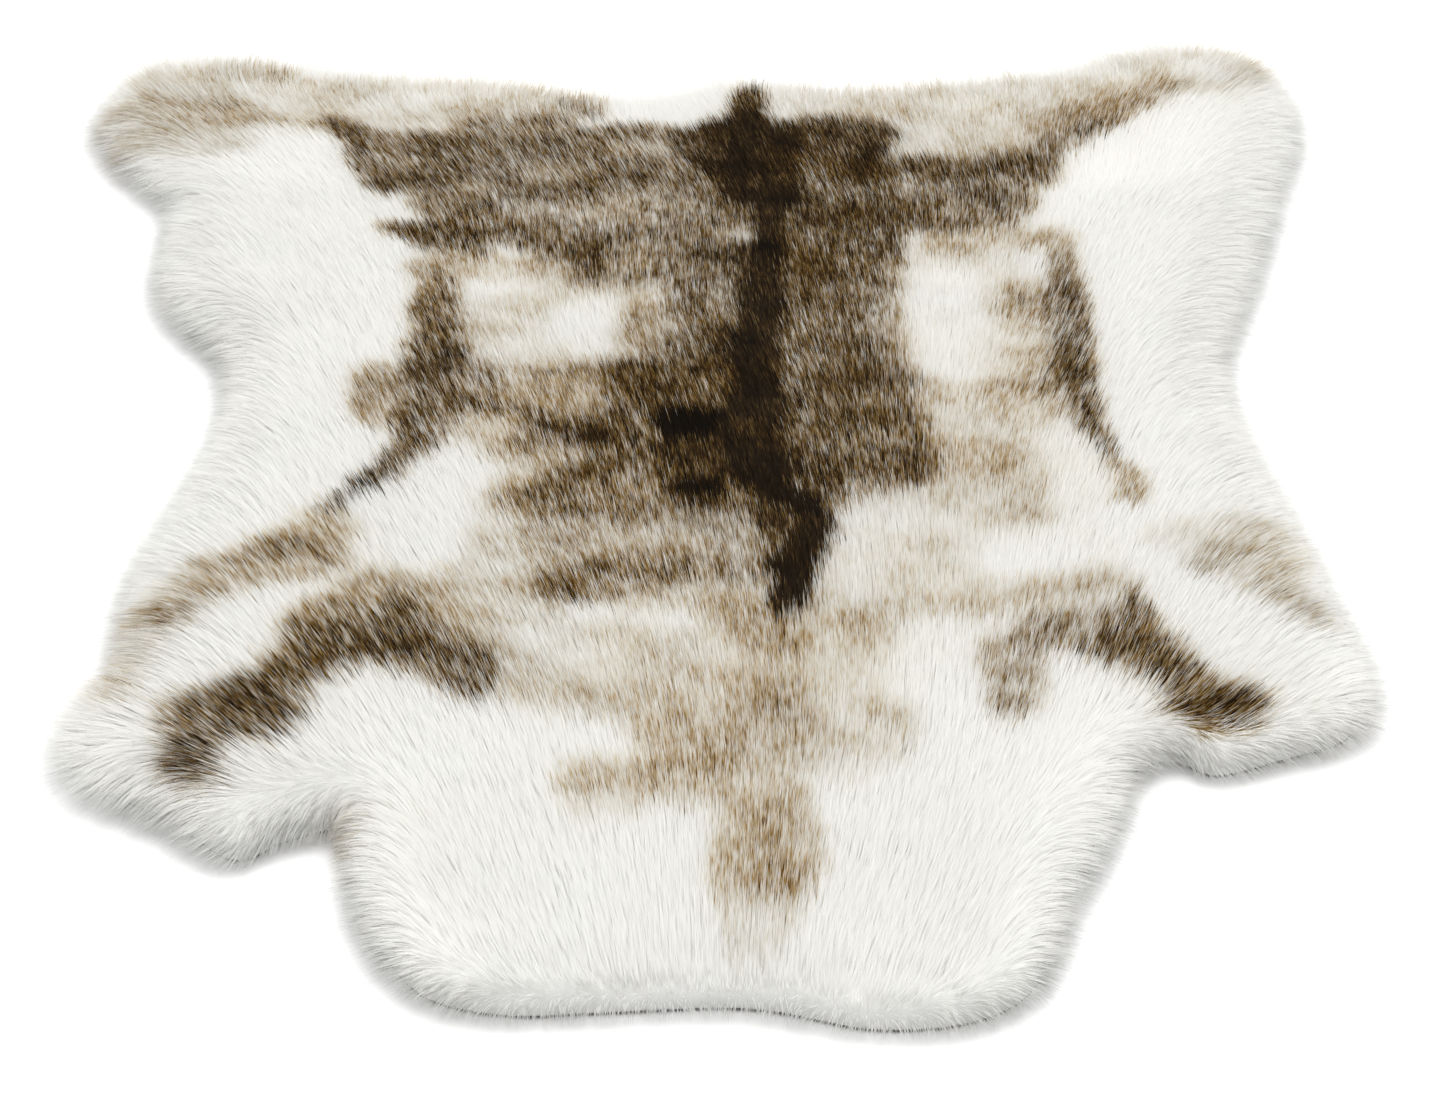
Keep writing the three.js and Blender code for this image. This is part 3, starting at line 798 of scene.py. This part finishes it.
def fur_colour_group():
    """Tone, place along the hair and the hair's own number become a colour."""
    tree = bpy.data.node_groups.new("colour of fur", "ShaderNodeTree")
    for name, value in (("Tone", 0.0), ("Gold", 0.5), ("Along", 1.0), ("Strand", 0.5),
                        ("Height", 0.0), ("Root shade", 0.8), ("Strand spread", 0.1)):
        socket = tree.interface.new_socket(name, in_out="INPUT", socket_type="NodeSocketFloat")
        socket.default_value = value
    tree.interface.new_socket("Colour", in_out="OUTPUT", socket_type="NodeSocketColor")
    inputs = node(tree, "NodeGroupInput").outputs
    step = maths(tree, "ADD", maths(tree, "MULTIPLY", inputs["Along"], BANDS), inputs["Strand"])
    wave = maths(tree, "SINE", maths(tree, "MULTIPLY", step, 2 * math.pi))
    dark = maths(tree, "MINIMUM", maths(tree, "MULTIPLY", inputs["Tone"], BAND_ONSET), 1.0)
    light = maths(tree, "SUBTRACT", 1.0, inputs["Tone"])
    depth = maths(tree, "MULTIPLY", maths(tree, "MULTIPLY", dark, light), BAND_DEPTH)
    banded = maths(tree, "ADD", inputs["Tone"], maths(tree, "MULTIPLY", wave, depth))
    ramps = []
    for kind in ("grey", "gold"):
        ramp = node(tree, "ShaderNodeValToRGB")
        while len(ramp.color_ramp.elements) < len(COAT_COLOURS):
            ramp.color_ramp.elements.new(0.5)
        for element, stop in zip(ramp.color_ramp.elements, COAT_COLOURS):
            element.position = stop.tone
            element.color = [getattr(stop, f"{kind}_{c}") for c in ("red", "green", "blue")] + [1]
        wire(tree, banded, ramp.inputs["Fac"])
        ramps.append(ramp)
    blend = node(tree, "ShaderNodeMix", data_type="RGBA")
    wire(tree, inputs["Gold"], blend.inputs["Factor"])
    wire(tree, ramps[0].outputs["Color"], blend.inputs[MIX_FROM])
    wire(tree, ramps[1].outputs["Color"], blend.inputs[MIX_TO])
    # painted shade, darker towards the floor
    low = node(tree, "ShaderNodeMapRange")
    low.inputs["From Max"].default_value = PAINTED_SHADE_UP_TO
    low.inputs["To Min"].default_value = PAINTED_LOW_SHADE
    wire(tree, inputs["Height"], low.inputs["Value"])
    # painted shade at the root of brown hair, and over all brown undercoat, whose Along is 0
    fall = maths(tree, "SUBTRACT", 1.0, inputs["Root shade"])
    brown = maths(tree, "MINIMUM", maths(tree, "MULTIPLY", inputs["Tone"], ROOT_ONSET), 1.0)
    fall = maths(tree, "MULTIPLY", fall, brown)
    left = maths(tree, "SUBTRACT", 1.0, maths(tree, "POWER", inputs["Along"], ROOT_FADE))
    shade = maths(tree, "SUBTRACT", 1.0, maths(tree, "MULTIPLY", fall, left))
    own = maths(tree, "SUBTRACT", inputs["Strand"], 0.5)
    own = maths(tree, "ADD", 1.0, maths(tree, "MULTIPLY", own, inputs["Strand spread"]))
    shade = maths(tree, "MULTIPLY", shade, own)
    shade = maths(tree, "MULTIPLY", shade, low.outputs["Result"])
    tint = node(tree, "ShaderNodeVectorMath", operation="SCALE")
    wire(tree, blend.outputs[MIX_OUT], tint.inputs[0])
    wire(tree, shade, tint.inputs["Scale"])
    output = node(tree, "NodeGroupOutput")
    wire(tree, tint.outputs[0], output.inputs["Colour"])
    return tree


FUR_COLOUR = fur_colour_group()
print("colour of fur has", len(FUR_COLOUR.nodes), "nodes")

# %% Materials of the hair and the undercoat
FUR_SHEEN = 0.15


def fur_material(name, painted_root_shade, strand_spread, see_through, roughness):
    """Fur: its colour from the shared group, a faint sheen, and light through it if wanted."""
    material, surface = new_material(name, roughness)
    tree = material.node_tree
    surface.inputs["Specular IOR Level"].default_value = FUR_SHEEN
    colour = node(tree, "ShaderNodeGroup", node_tree=FUR_COLOUR)
    colour.inputs["Root shade"].default_value = painted_root_shade
    colour.inputs["Strand spread"].default_value = strand_spread
    sources = {"Tone": "coat", "Gold": "gold", "Along": "along", "Strand": "strand"}
    for socket, layer in sources.items():
        source = node(tree, "ShaderNodeAttribute", attribute_name=layer)
        wire(tree, source.outputs["Fac"], colour.inputs[socket])
    place = node(tree, "ShaderNodeSeparateXYZ")
    wire(tree, node(tree, "ShaderNodeTexCoord").outputs["Object"], place.inputs[0])
    wire(tree, place.outputs["Z"], colour.inputs["Height"])
    wire(tree, colour.outputs["Colour"], surface.inputs["Base Color"])
    if see_through:
        glow = node(tree, "ShaderNodeBsdfTranslucent")
        blend = node(tree, "ShaderNodeMixShader")
        blend.inputs["Fac"].default_value = see_through
        wire(tree, colour.outputs["Colour"], glow.inputs["Color"])
        wire(tree, surface.outputs["BSDF"], blend.inputs[1])
        wire(tree, glow.outputs["BSDF"], blend.inputs[2])
        wire(tree, blend.outputs["Shader"], tree.nodes["Material Output"].inputs["Surface"])
    return material


# painted root shade: brown hair is darker at its root, and brown undercoat darker all over
hair_material = fur_material("long hair", painted_root_shade=0.6, strand_spread=0.02,
                             see_through=0.55, roughness=0.7)
undercoat_material = fur_material("undercoat", painted_root_shade=0.85, strand_spread=0.0,
                                  see_through=0.0, roughness=0.9)
coat_mesh.materials.append(undercoat_material)
print("materials", hair_material.name, "and", undercoat_material.name)

# %% [markdown]
# ## Map of the undercoat
# A mesh whose colours are to be kept in a picture needs a map that lays it out flat. The
# undercoat's map is the view from above on a square sheet. Its foot and its side would lie
# under the top there, and nobody sees them, so they are shrunk into a free corner of the sheet.
# Unwrapping would also do, but it takes long and cuts the top up.

# %% Lay out the undercoat
BAKE_MAP = "OFBake"
MAP_SIZE = 1.35
FOOT_FROM, FOOT_SIZE = 0.95, 0.03


def lay_out(mesh, places):
    """Give a mesh its map: one place on the sheet for each corner of each face."""
    layer = mesh.uv_layers.new(name=BAKE_MAP)
    layer.uv.foreach_set("vector", places.ravel())


corner = taken(coat_mesh.loops, "vertex_index", kind=np.int32)
sides = taken(coat_mesh.polygons, "loop_total", kind=np.int32)
is_foot = np.array([max(p.vertices) >= first_foot for p in coat_mesh.polygons])
on_foot = np.repeat(is_foot, sides)
on_sheet = (coat_corners[corner, :2] - coat_corners[:, :2].min(axis=0)) / MAP_SIZE
on_sheet[on_foot] = FOOT_FROM + FOOT_SIZE * on_sheet[on_foot]
lay_out(coat_mesh, on_sheet)
print("top of the undercoat fills the sheet up to", on_sheet[~on_foot].max(axis=0))

# %% [markdown]
# ## Long hair
# Hundreds of thousands of hairs are too many to place by hand, so Geometry Nodes grow them.
# Points are scattered over the undercoat, each with its own random numbers. A small flat blade
# of two triangles stands for a lock of a few fine hairs. It is copied to every point and made
# real, and then each copy is bent: its corners follow a curve that starts in the direction in
# which the hair rises and ends in the one in which it lies. Noise pulls neighbours the same way,
# so that they stand in tufts, most of all at the rim, where their lengths are uneven too. Hair
# curves would be finer, but they aren't a mesh, and the finished rug has to be one.
# The hair is made in several pieces, one for each part of the hide, so that none grows heavy.

# %% Node tree that grows the hair
BLADE_CORNERS = 4
BLADE_SLIM = 0.1
OWN_LENGTH = (0.72, 1.08)
RIM_UNEVEN = (-0.38, 0.16)


def field_attribute(tree, name, kind):
    """Read a named attribute."""
    made = node(tree, "GeometryNodeInputNamedAttribute", data_type=kind)
    made.inputs["Name"].default_value = name
    return made.outputs["Attribute"]


def kept_on(tree, geometry, name, kind, value):
    """Store a value under a name and hand the geometry on."""
    made = node(tree, "GeometryNodeStoreNamedAttribute", data_type=kind, domain="POINT")
    made.inputs["Name"].default_value = name
    wire(tree, geometry, made.inputs["Geometry"])
    wire(tree, value, made.inputs["Value"])
    return made.outputs["Geometry"]


def random_value(tree, kind, low, high, seed, add=0):
    """A random value for each point, from a seed and what is added to it."""
    made = node(tree, "FunctionNodeRandomValue", data_type=kind)
    sockets = [s for s in made.inputs if s.enabled]
    sockets[0].default_value = low
    sockets[1].default_value = high
    wire(tree, maths(tree, "ADD", seed, float(add)), made.inputs["Seed"])
    return next(s for s in made.outputs if s.enabled)


def vector(tree, operation, a, b=None, scale=None):
    """A vector maths node. Gives its vector output."""
    made = node(tree, "ShaderNodeVectorMath", operation=operation)
    for socket, value in ((made.inputs[0], a), (made.inputs[1], b)):
        if isinstance(value, bpy.types.NodeSocket):
            wire(tree, value, socket)
        elif value is not None:
            socket.default_value = value
    if isinstance(scale, bpy.types.NodeSocket):
        wire(tree, scale, made.inputs["Scale"])
    elif scale is not None:
        made.inputs["Scale"].default_value = scale
    return made.outputs["Vector"]


def blade_of_hair(tree):
    """One blade, 1 long and pointed at both ends. It is slim, so it is split across its middle."""
    diamond = node(tree, "GeometryNodeMeshCircle", fill_type="NGON")
    diamond.inputs["Vertices"].default_value = BLADE_CORNERS
    diamond.inputs["Radius"].default_value = 0.5
    parts = node(tree, "ShaderNodeSeparateXYZ")
    wire(tree, node(tree, "GeometryNodeInputPosition").outputs[0], parts.inputs[0])
    along = maths(tree, "ADD", parts.outputs["Y"], 0.5)
    blade = kept_on(tree, diamond.outputs["Mesh"], "across", "FLOAT", parts.outputs["X"])
    blade = kept_on(tree, blade, "along", "FLOAT", along)
    place = node(tree, "ShaderNodeCombineXYZ")
    wire(tree, maths(tree, "MULTIPLY", parts.outputs["X"], BLADE_SLIM), place.inputs["X"])
    wire(tree, along, place.inputs["Y"])
    slim = node(tree, "GeometryNodeSetPosition")
    wire(tree, blade, slim.inputs["Geometry"])
    wire(tree, place.outputs[0], slim.inputs["Position"])
    split = node(tree, "GeometryNodeTriangulate", quad_method="SHORTEST_DIAGONAL")
    wire(tree, slim.outputs["Geometry"], split.inputs["Mesh"])
    return split.outputs["Mesh"]


HAIR_INPUTS = (
    ("Hairs per square metre", "NodeSocketFloat", 300000.0),
    ("Part", "NodeSocketInt", 0),
    ("Seed", "NodeSocketInt", 1),
    ("Hair width", "NodeSocketFloat", 0.0008),
    ("Tuft size", "NodeSocketFloat", 0.012),
    ("Tuft pull", "NodeSocketFloat", 0.17),
    ("Rim pull", "NodeSocketFloat", 0.30),
    ("Stray pull", "NodeSocketFloat", 0.08),
    ("Twist", "NodeSocketFloat", 0.4),
    ("Material", "NodeSocketMaterial", None),
)


def hair_tree():
    """The Geometry Nodes tree that grows hair on the undercoat."""
    tree = bpy.data.node_groups.new("grow hair", "GeometryNodeTree")
    face = tree.interface
    face.new_socket("Geometry", in_out="INPUT", socket_type="NodeSocketGeometry")
    for name, kind, value in HAIR_INPUTS:
        socket = face.new_socket(name, in_out="INPUT", socket_type=kind)
        if value is not None:
            socket.default_value = value
    face.new_socket("Geometry", in_out="OUTPUT", socket_type="NodeSocketGeometry")
    inputs = node(tree, "NodeGroupInput").outputs

    chosen = node(tree, "FunctionNodeCompare", data_type="INT", operation="EQUAL")
    numbers = [s for s in chosen.inputs if s.enabled]
    wire(tree, field_attribute(tree, "part", "INT"), numbers[0])
    wire(tree, inputs["Part"], numbers[1])
    scatter = node(tree, "GeometryNodeDistributePointsOnFaces", distribute_method="RANDOM")
    wire(tree, inputs["Geometry"], scatter.inputs["Mesh"])
    wire(tree, chosen.outputs["Result"], scatter.inputs["Selection"])
    fullness = field_attribute(tree, "fullness", "FLOAT")
    density = maths(tree, "MULTIPLY", fullness, inputs["Hairs per square metre"])
    wire(tree, density, scatter.inputs["Density"])
    wire(tree, inputs["Seed"], scatter.inputs["Seed"])

    root = node(tree, "GeometryNodeInputPosition").outputs[0]
    tufts = node(tree, "ShaderNodeTexNoise", noise_dimensions="3D")
    wire(tree, root, tufts.inputs["Vector"])
    wire(tree, maths(tree, "DIVIDE", 1.0, inputs["Tuft size"]), tufts.inputs["Scale"])
    tufts.inputs["Detail"].default_value = 1.0
    pull = vector(tree, "SUBTRACT", tufts.outputs["Color"], (0.5, 0.5, 0.5))
    ragged = field_attribute(tree, "ragged", "FLOAT")
    rim_pull = maths(tree, "MULTIPLY", ragged, inputs["Rim pull"])
    pull = vector(tree, "SCALE", pull, scale=maths(tree, "ADD", inputs["Tuft pull"], rim_pull))
    stray = random_value(tree, "FLOAT_VECTOR", (-1, -1, -1), (1, 1, 1), inputs["Seed"])
    pull = vector(tree, "ADD", pull, vector(tree, "SCALE", stray, scale=inputs["Stray pull"]))
    lay_way = vector(tree, "ADD", field_attribute(tree, "lay", "FLOAT_VECTOR"), pull)
    half_pull = vector(tree, "SCALE", pull, scale=0.5)
    rise_way = vector(tree, "ADD", field_attribute(tree, "rise", "FLOAT_VECTOR"), half_pull)
    own_length = random_value(tree, "FLOAT", *OWN_LENGTH, inputs["Seed"], add=101)
    turn = random_value(tree, "FLOAT", -0.5, 0.5, inputs["Seed"], add=202)
    uneven = random_value(tree, "FLOAT", *RIM_UNEVEN, inputs["Seed"], add=404)
    uneven = maths(tree, "MULTIPLY", uneven, ragged)
    own_length = maths(tree, "ADD", own_length, uneven)
    length = maths(tree, "MULTIPLY", field_attribute(tree, "hair", "FLOAT"), own_length)
    points = scatter.outputs["Points"]
    points = kept_on(tree, points, "root", "FLOAT_VECTOR", root)
    points = kept_on(tree, points, "hair", "FLOAT", length)
    points = kept_on(tree, points, "turn", "FLOAT", turn)
    points = kept_on(tree, points, "lay", "FLOAT_VECTOR", vector(tree, "NORMALIZE", lay_way))
    points = kept_on(tree, points, "rise", "FLOAT_VECTOR", vector(tree, "NORMALIZE", rise_way))

    planted = node(tree, "GeometryNodeInstanceOnPoints")
    wire(tree, points, planted.inputs["Points"])
    wire(tree, blade_of_hair(tree), planted.inputs["Instance"])
    real = node(tree, "GeometryNodeRealizeInstances")
    wire(tree, planted.outputs["Instances"], real.inputs["Geometry"])

    t = field_attribute(tree, "along", "FLOAT")
    rises = field_attribute(tree, "rise", "FLOAT_VECTOR")
    lies = field_attribute(tree, "lay", "FLOAT_VECTOR")
    bent = maths(tree, "MULTIPLY", maths(tree, "POWER", t, 2.0), 0.5)
    start = vector(tree, "SCALE", rises, scale=maths(tree, "SUBTRACT", t, bent))
    end = vector(tree, "SCALE", lies, scale=bent)
    path = vector(tree, "SCALE", vector(tree, "ADD", start, end),
                  scale=field_attribute(tree, "hair", "FLOAT"))
    axis = vector(tree, "ADD", rises, lies)
    level = vector(tree, "NORMALIZE", vector(tree, "CROSS_PRODUCT", axis, (0, 0, 1)))
    turned = node(tree, "ShaderNodeVectorRotate", rotation_type="AXIS_ANGLE")
    wire(tree, level, turned.inputs["Vector"])
    wire(tree, axis, turned.inputs["Axis"])
    angle = maths(tree, "MULTIPLY", field_attribute(tree, "turn", "FLOAT"), inputs["Twist"])
    wire(tree, angle, turned.inputs["Angle"])
    width = maths(tree, "MULTIPLY", field_attribute(tree, "across", "FLOAT"), inputs["Hair width"])
    width = maths(tree, "MULTIPLY", width, field_attribute(tree, "thick", "FLOAT"))
    side = vector(tree, "SCALE", turned.outputs[0], scale=width)
    spot = vector(tree, "ADD", field_attribute(tree, "root", "FLOAT_VECTOR"), path)
    spot = vector(tree, "ADD", spot, side)
    shaped = node(tree, "GeometryNodeSetPosition")
    wire(tree, real.outputs["Geometry"], shaped.inputs["Geometry"])
    wire(tree, spot, shaped.inputs["Position"])
    dressed = node(tree, "GeometryNodeSetMaterial")
    wire(tree, shaped.outputs["Geometry"], dressed.inputs["Geometry"])
    wire(tree, inputs["Material"], dressed.inputs["Material"])
    output = node(tree, "NodeGroupOutput")
    wire(tree, dressed.outputs["Geometry"], output.inputs["Geometry"])
    return tree


GROW_HAIR = hair_tree()
print("hair tree has", len(GROW_HAIR.nodes), "nodes")

# %% Parts of the hide
PARTS = ["fur_neck", "fur_left_side", "fur_right_side", "fur_back", "fur_rump"]
NECK_END = -0.285
RUMP_START = 0.335
BACK_LEFT = -0.135
BACK_RIGHT = 0.150
NO_PART = -1
FACES_DOWN = -0.5
RIM_FULLER = 0.7


def part_of(x, y):
    """The number of the part that a place lies in."""
    side = np.where(x < BACK_LEFT, 1, np.where(x > BACK_RIGHT, 2, 3))
    return np.where(y < NECK_END, 0, np.where(y > RUMP_START, 4, side))


centres = taken(coat_mesh.polygons, "center", 3)
normals = taken(coat_mesh.polygons, "normal", 3)
areas = taken(coat_mesh.polygons, "area")
part = part_of(centres[:, 0], centres[:, 1])
part[normals[:, 2] < FACES_DOWN] = NO_PART
store(coat_mesh, "part", "INT", part.astype(np.int32), "FACE")
fullness = padded_to(1.0 + RIM_FULLER * fan[:, 0], len(coat_corners))
keep_on_coat(fullness=fullness)
face_fullness = np.array([fullness[list(p.vertices)].mean() for p in coat_mesh.polygons])
full_area = [float((areas * face_fullness)[part == k].sum()) for k in range(len(PARTS))]
for name, area in zip(PARTS, full_area):
    print(name, "counts as", area, "square metres")

# %% [markdown]
# ## Tones of single hairs
# Brown fur is never one brown. Seen close, pale, tan and near-black hairs stand side by side,
# and only from afar do they make a brown. So each hair takes the tone of the marking where its
# outer half lies, and then strays from it: a lot in brown fur, hardly at all in white or near
# black. Neighbours stray together, in clumps a few millimetres wide, and each a little alone.
# The clumps' steps along the bands go together too. A tone drawn at random for each hair would
# be simpler, but it looks like grain, not fur.

# %% Grow the hair, one part at a time
HAIR_COUNT = 93000
SEEN_FROM, SEEN_TO = 0.45, 1.05
TIP_JITTER = 3.0 * MM
PLAIN_SPREAD, BROWN_SPREAD = 0.02, 13.5
CLUMPS = ((2.6, 21), (1.5, 22))
CLUMP_STRAY, OWN_STRAY = 0.95, 0.45
PHASE_SIZE, PHASE_SEED = 2.0, 23
PHASE_CLUMP, PHASE_OWN = 0.6, 0.25
GOLD_OF_TONE, GOLD_OF_STRAY, GOLD_OWN = 0.3, 0.5, 0.4
FIRST_HAIR_SEED, FIRST_TONE_SEED = 11, 70
UV_MARGIN = 0.1


def read(mesh, name, width=1):
    """A named attribute as an array."""
    return taken(mesh.attributes[name].data, "vector" if width == 3 else "value", width)


def hair_tones(mesh, seed):
    """Each hair's tone, how golden it is and its step along the bands."""
    first = slice(None, None, BLADE_CORNERS)
    root, rise, lay = (read(mesh, name, 3)[first] for name in ("root", "rise", "lay"))
    length = read(mesh, "hair")[first][:, None]
    draw = np.random.default_rng(seed)
    seen_at = draw.uniform(SEEN_FROM, SEEN_TO, (len(root), 1))
    bent = seen_at**2 / 2
    seen = root + length * (rise * (seen_at - bent) + lay * bent)
    seen[:, :2] += draw.normal(0, TIP_JITTER, (len(seen), 2))
    tone, gold = coat_at(seen)
    own_stray, own_phase, own_gold = (draw.uniform(-0.5, 0.5, len(tone)) for _ in range(3))
    x, y = root[:, 0] * TO_MM, root[:, 1] * TO_MM
    clump = sum(noise(x, y, size, seed) for size, seed in CLUMPS) / len(CLUMPS)
    stray = CLUMP_STRAY * clump + OWN_STRAY * own_stray
    phase = 0.5 + PHASE_CLUMP * noise(x, y, PHASE_SIZE, PHASE_SEED) + PHASE_OWN * own_phase
    gold = gold + GOLD_OF_TONE * tone + GOLD_OF_STRAY * stray + GOLD_OWN * own_gold
    spread = PLAIN_SPREAD + BROWN_SPREAD * (tone * (1 - tone))**2
    return np.clip(tone + spread * stray, 0, 1), np.clip(gold, 0, 1), phase


def lay_out_blades(mesh):
    """A map with a small cell of its own for each blade, in place of the undercoat's."""
    count = len(mesh.vertices) // BLADE_CORNERS
    side = math.ceil(math.sqrt(count))
    blade = np.arange(len(mesh.vertices)) // BLADE_CORNERS
    u = (blade % side + 0.5 + read(mesh, "across") * (1 - 2 * UV_MARGIN)) / side
    v = (blade // side + UV_MARGIN + read(mesh, "along") * (1 - 2 * UV_MARGIN)) / side
    drop(mesh, BAKE_MAP)
    corner = taken(mesh.loops, "vertex_index", kind=np.int32)
    lay_out(mesh, np.column_stack([u, v])[corner])


def grow(name, number):
    """One part of the long hair as a plain mesh."""
    carrier = link(bpy.data.objects.new(name + "_carrier", coat_mesh))
    modifier = carrier.modifiers.new("hair", "NODES")
    modifier.node_group = GROW_HAIR
    values = {
        "Hairs per square metre": HAIR_COUNT / full_area[number],
        "Part": number,
        "Seed": FIRST_HAIR_SEED + number,
        "Material": hair_material,
    }
    for item in GROW_HAIR.interface.items_tree:
        if item.in_out == "INPUT" and item.name in values:
            modifier[item.identifier] = values[item.name]
    depsgraph = bpy.context.evaluated_depsgraph_get()
    mesh = bpy.data.meshes.new_from_object(carrier.evaluated_get(depsgraph))
    bpy.data.objects.remove(carrier)
    mesh.name = name
    tones = hair_tones(mesh, FIRST_TONE_SEED + number)
    for layer, per_hair in zip(("coat", "gold", "strand"), tones):
        store(mesh, layer, "FLOAT", np.repeat(per_hair, BLADE_CORNERS))
    lay_out_blades(mesh)
    drop(mesh, "root", "rise", "lay", "hair", "turn", "across", "fullness", "thick", "ragged")
    top = taken(mesh.vertices, "co", 3)[:, 2].max()
    print(name, len(mesh.polygons), "faces, up to", top, "m")
    return link(bpy.data.objects.new(name, mesh))


hair = [grow(name, k) for k, name in enumerate(PARTS)]

# %% [markdown]
# ## Cloth material
# The backing is a dull grey woven cloth. Two crossed waves give the threads, 2.2 mm apart, as
# colour and as bump, and noise makes them uneven. Threads of real geometry would be truer, but
# only the cloth's edge shows.

# %% Weave
THREAD_SCALE = 900.0 / 6.3
THREAD_WAVER = 0.6
WEAVE_LIFT = 0.6
FLECK_SCALE = 220.0
DARK_THREAD = (0.080, 0.075, 0.070, 1)
PALE_THREAD = (0.220, 0.208, 0.195, 1)
WEAVE_DEPTH = 0.3 * MM
CLOTH_ROUGHNESS = 0.92


def cloth_material():
    """Grey woven cloth on Object coordinates."""
    material, surface = new_material("backing cloth", CLOTH_ROUGHNESS)
    tree = material.node_tree
    place = node(tree, "ShaderNodeTexCoord").outputs["Object"]
    threads = []
    for direction in ("X", "Y"):
        wave = node(tree, "ShaderNodeTexWave", wave_type="BANDS", bands_direction=direction)
        wave.inputs["Scale"].default_value = THREAD_SCALE
        wave.inputs["Distortion"].default_value = THREAD_WAVER
        wire(tree, place, wave.inputs["Vector"])
        threads.append(wave.outputs["Fac"])
    weave = maths(tree, "MULTIPLY", *threads)
    fleck = node(tree, "ShaderNodeTexNoise")
    fleck.inputs["Scale"].default_value = FLECK_SCALE
    wire(tree, place, fleck.inputs["Vector"])
    ramp = node(tree, "ShaderNodeValToRGB")
    ramp.color_ramp.elements[0].color = DARK_THREAD
    ramp.color_ramp.elements[1].color = PALE_THREAD
    lifted = maths(tree, "ADD", weave, WEAVE_LIFT)
    wire(tree, maths(tree, "MULTIPLY", lifted, fleck.outputs["Fac"]), ramp.inputs["Fac"])
    wire(tree, ramp.outputs["Color"], surface.inputs["Base Color"])
    bump = node(tree, "ShaderNodeBump")
    bump.inputs["Distance"].default_value = WEAVE_DEPTH
    wire(tree, weave, bump.inputs["Height"])
    wire(tree, bump.outputs["Normal"], surface.inputs["Normal"])
    return material


backing.data.materials.append(cloth_material())
print("material of the backing", backing.data.materials[0].name)

# %% [markdown]
# ## Join the pieces to the frame
# Every piece rides on the rug's one body. The undercoat and the hair stand for the pile's
# solid, and the swept cloth for the backing's.

# %% Ride and replace
for piece in [undercoat] + hair:
    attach(piece, "root")
    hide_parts("pile")
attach(backing, "root")
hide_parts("backing")
print("pieces", [piece.name for piece in [backing, undercoat] + hair])
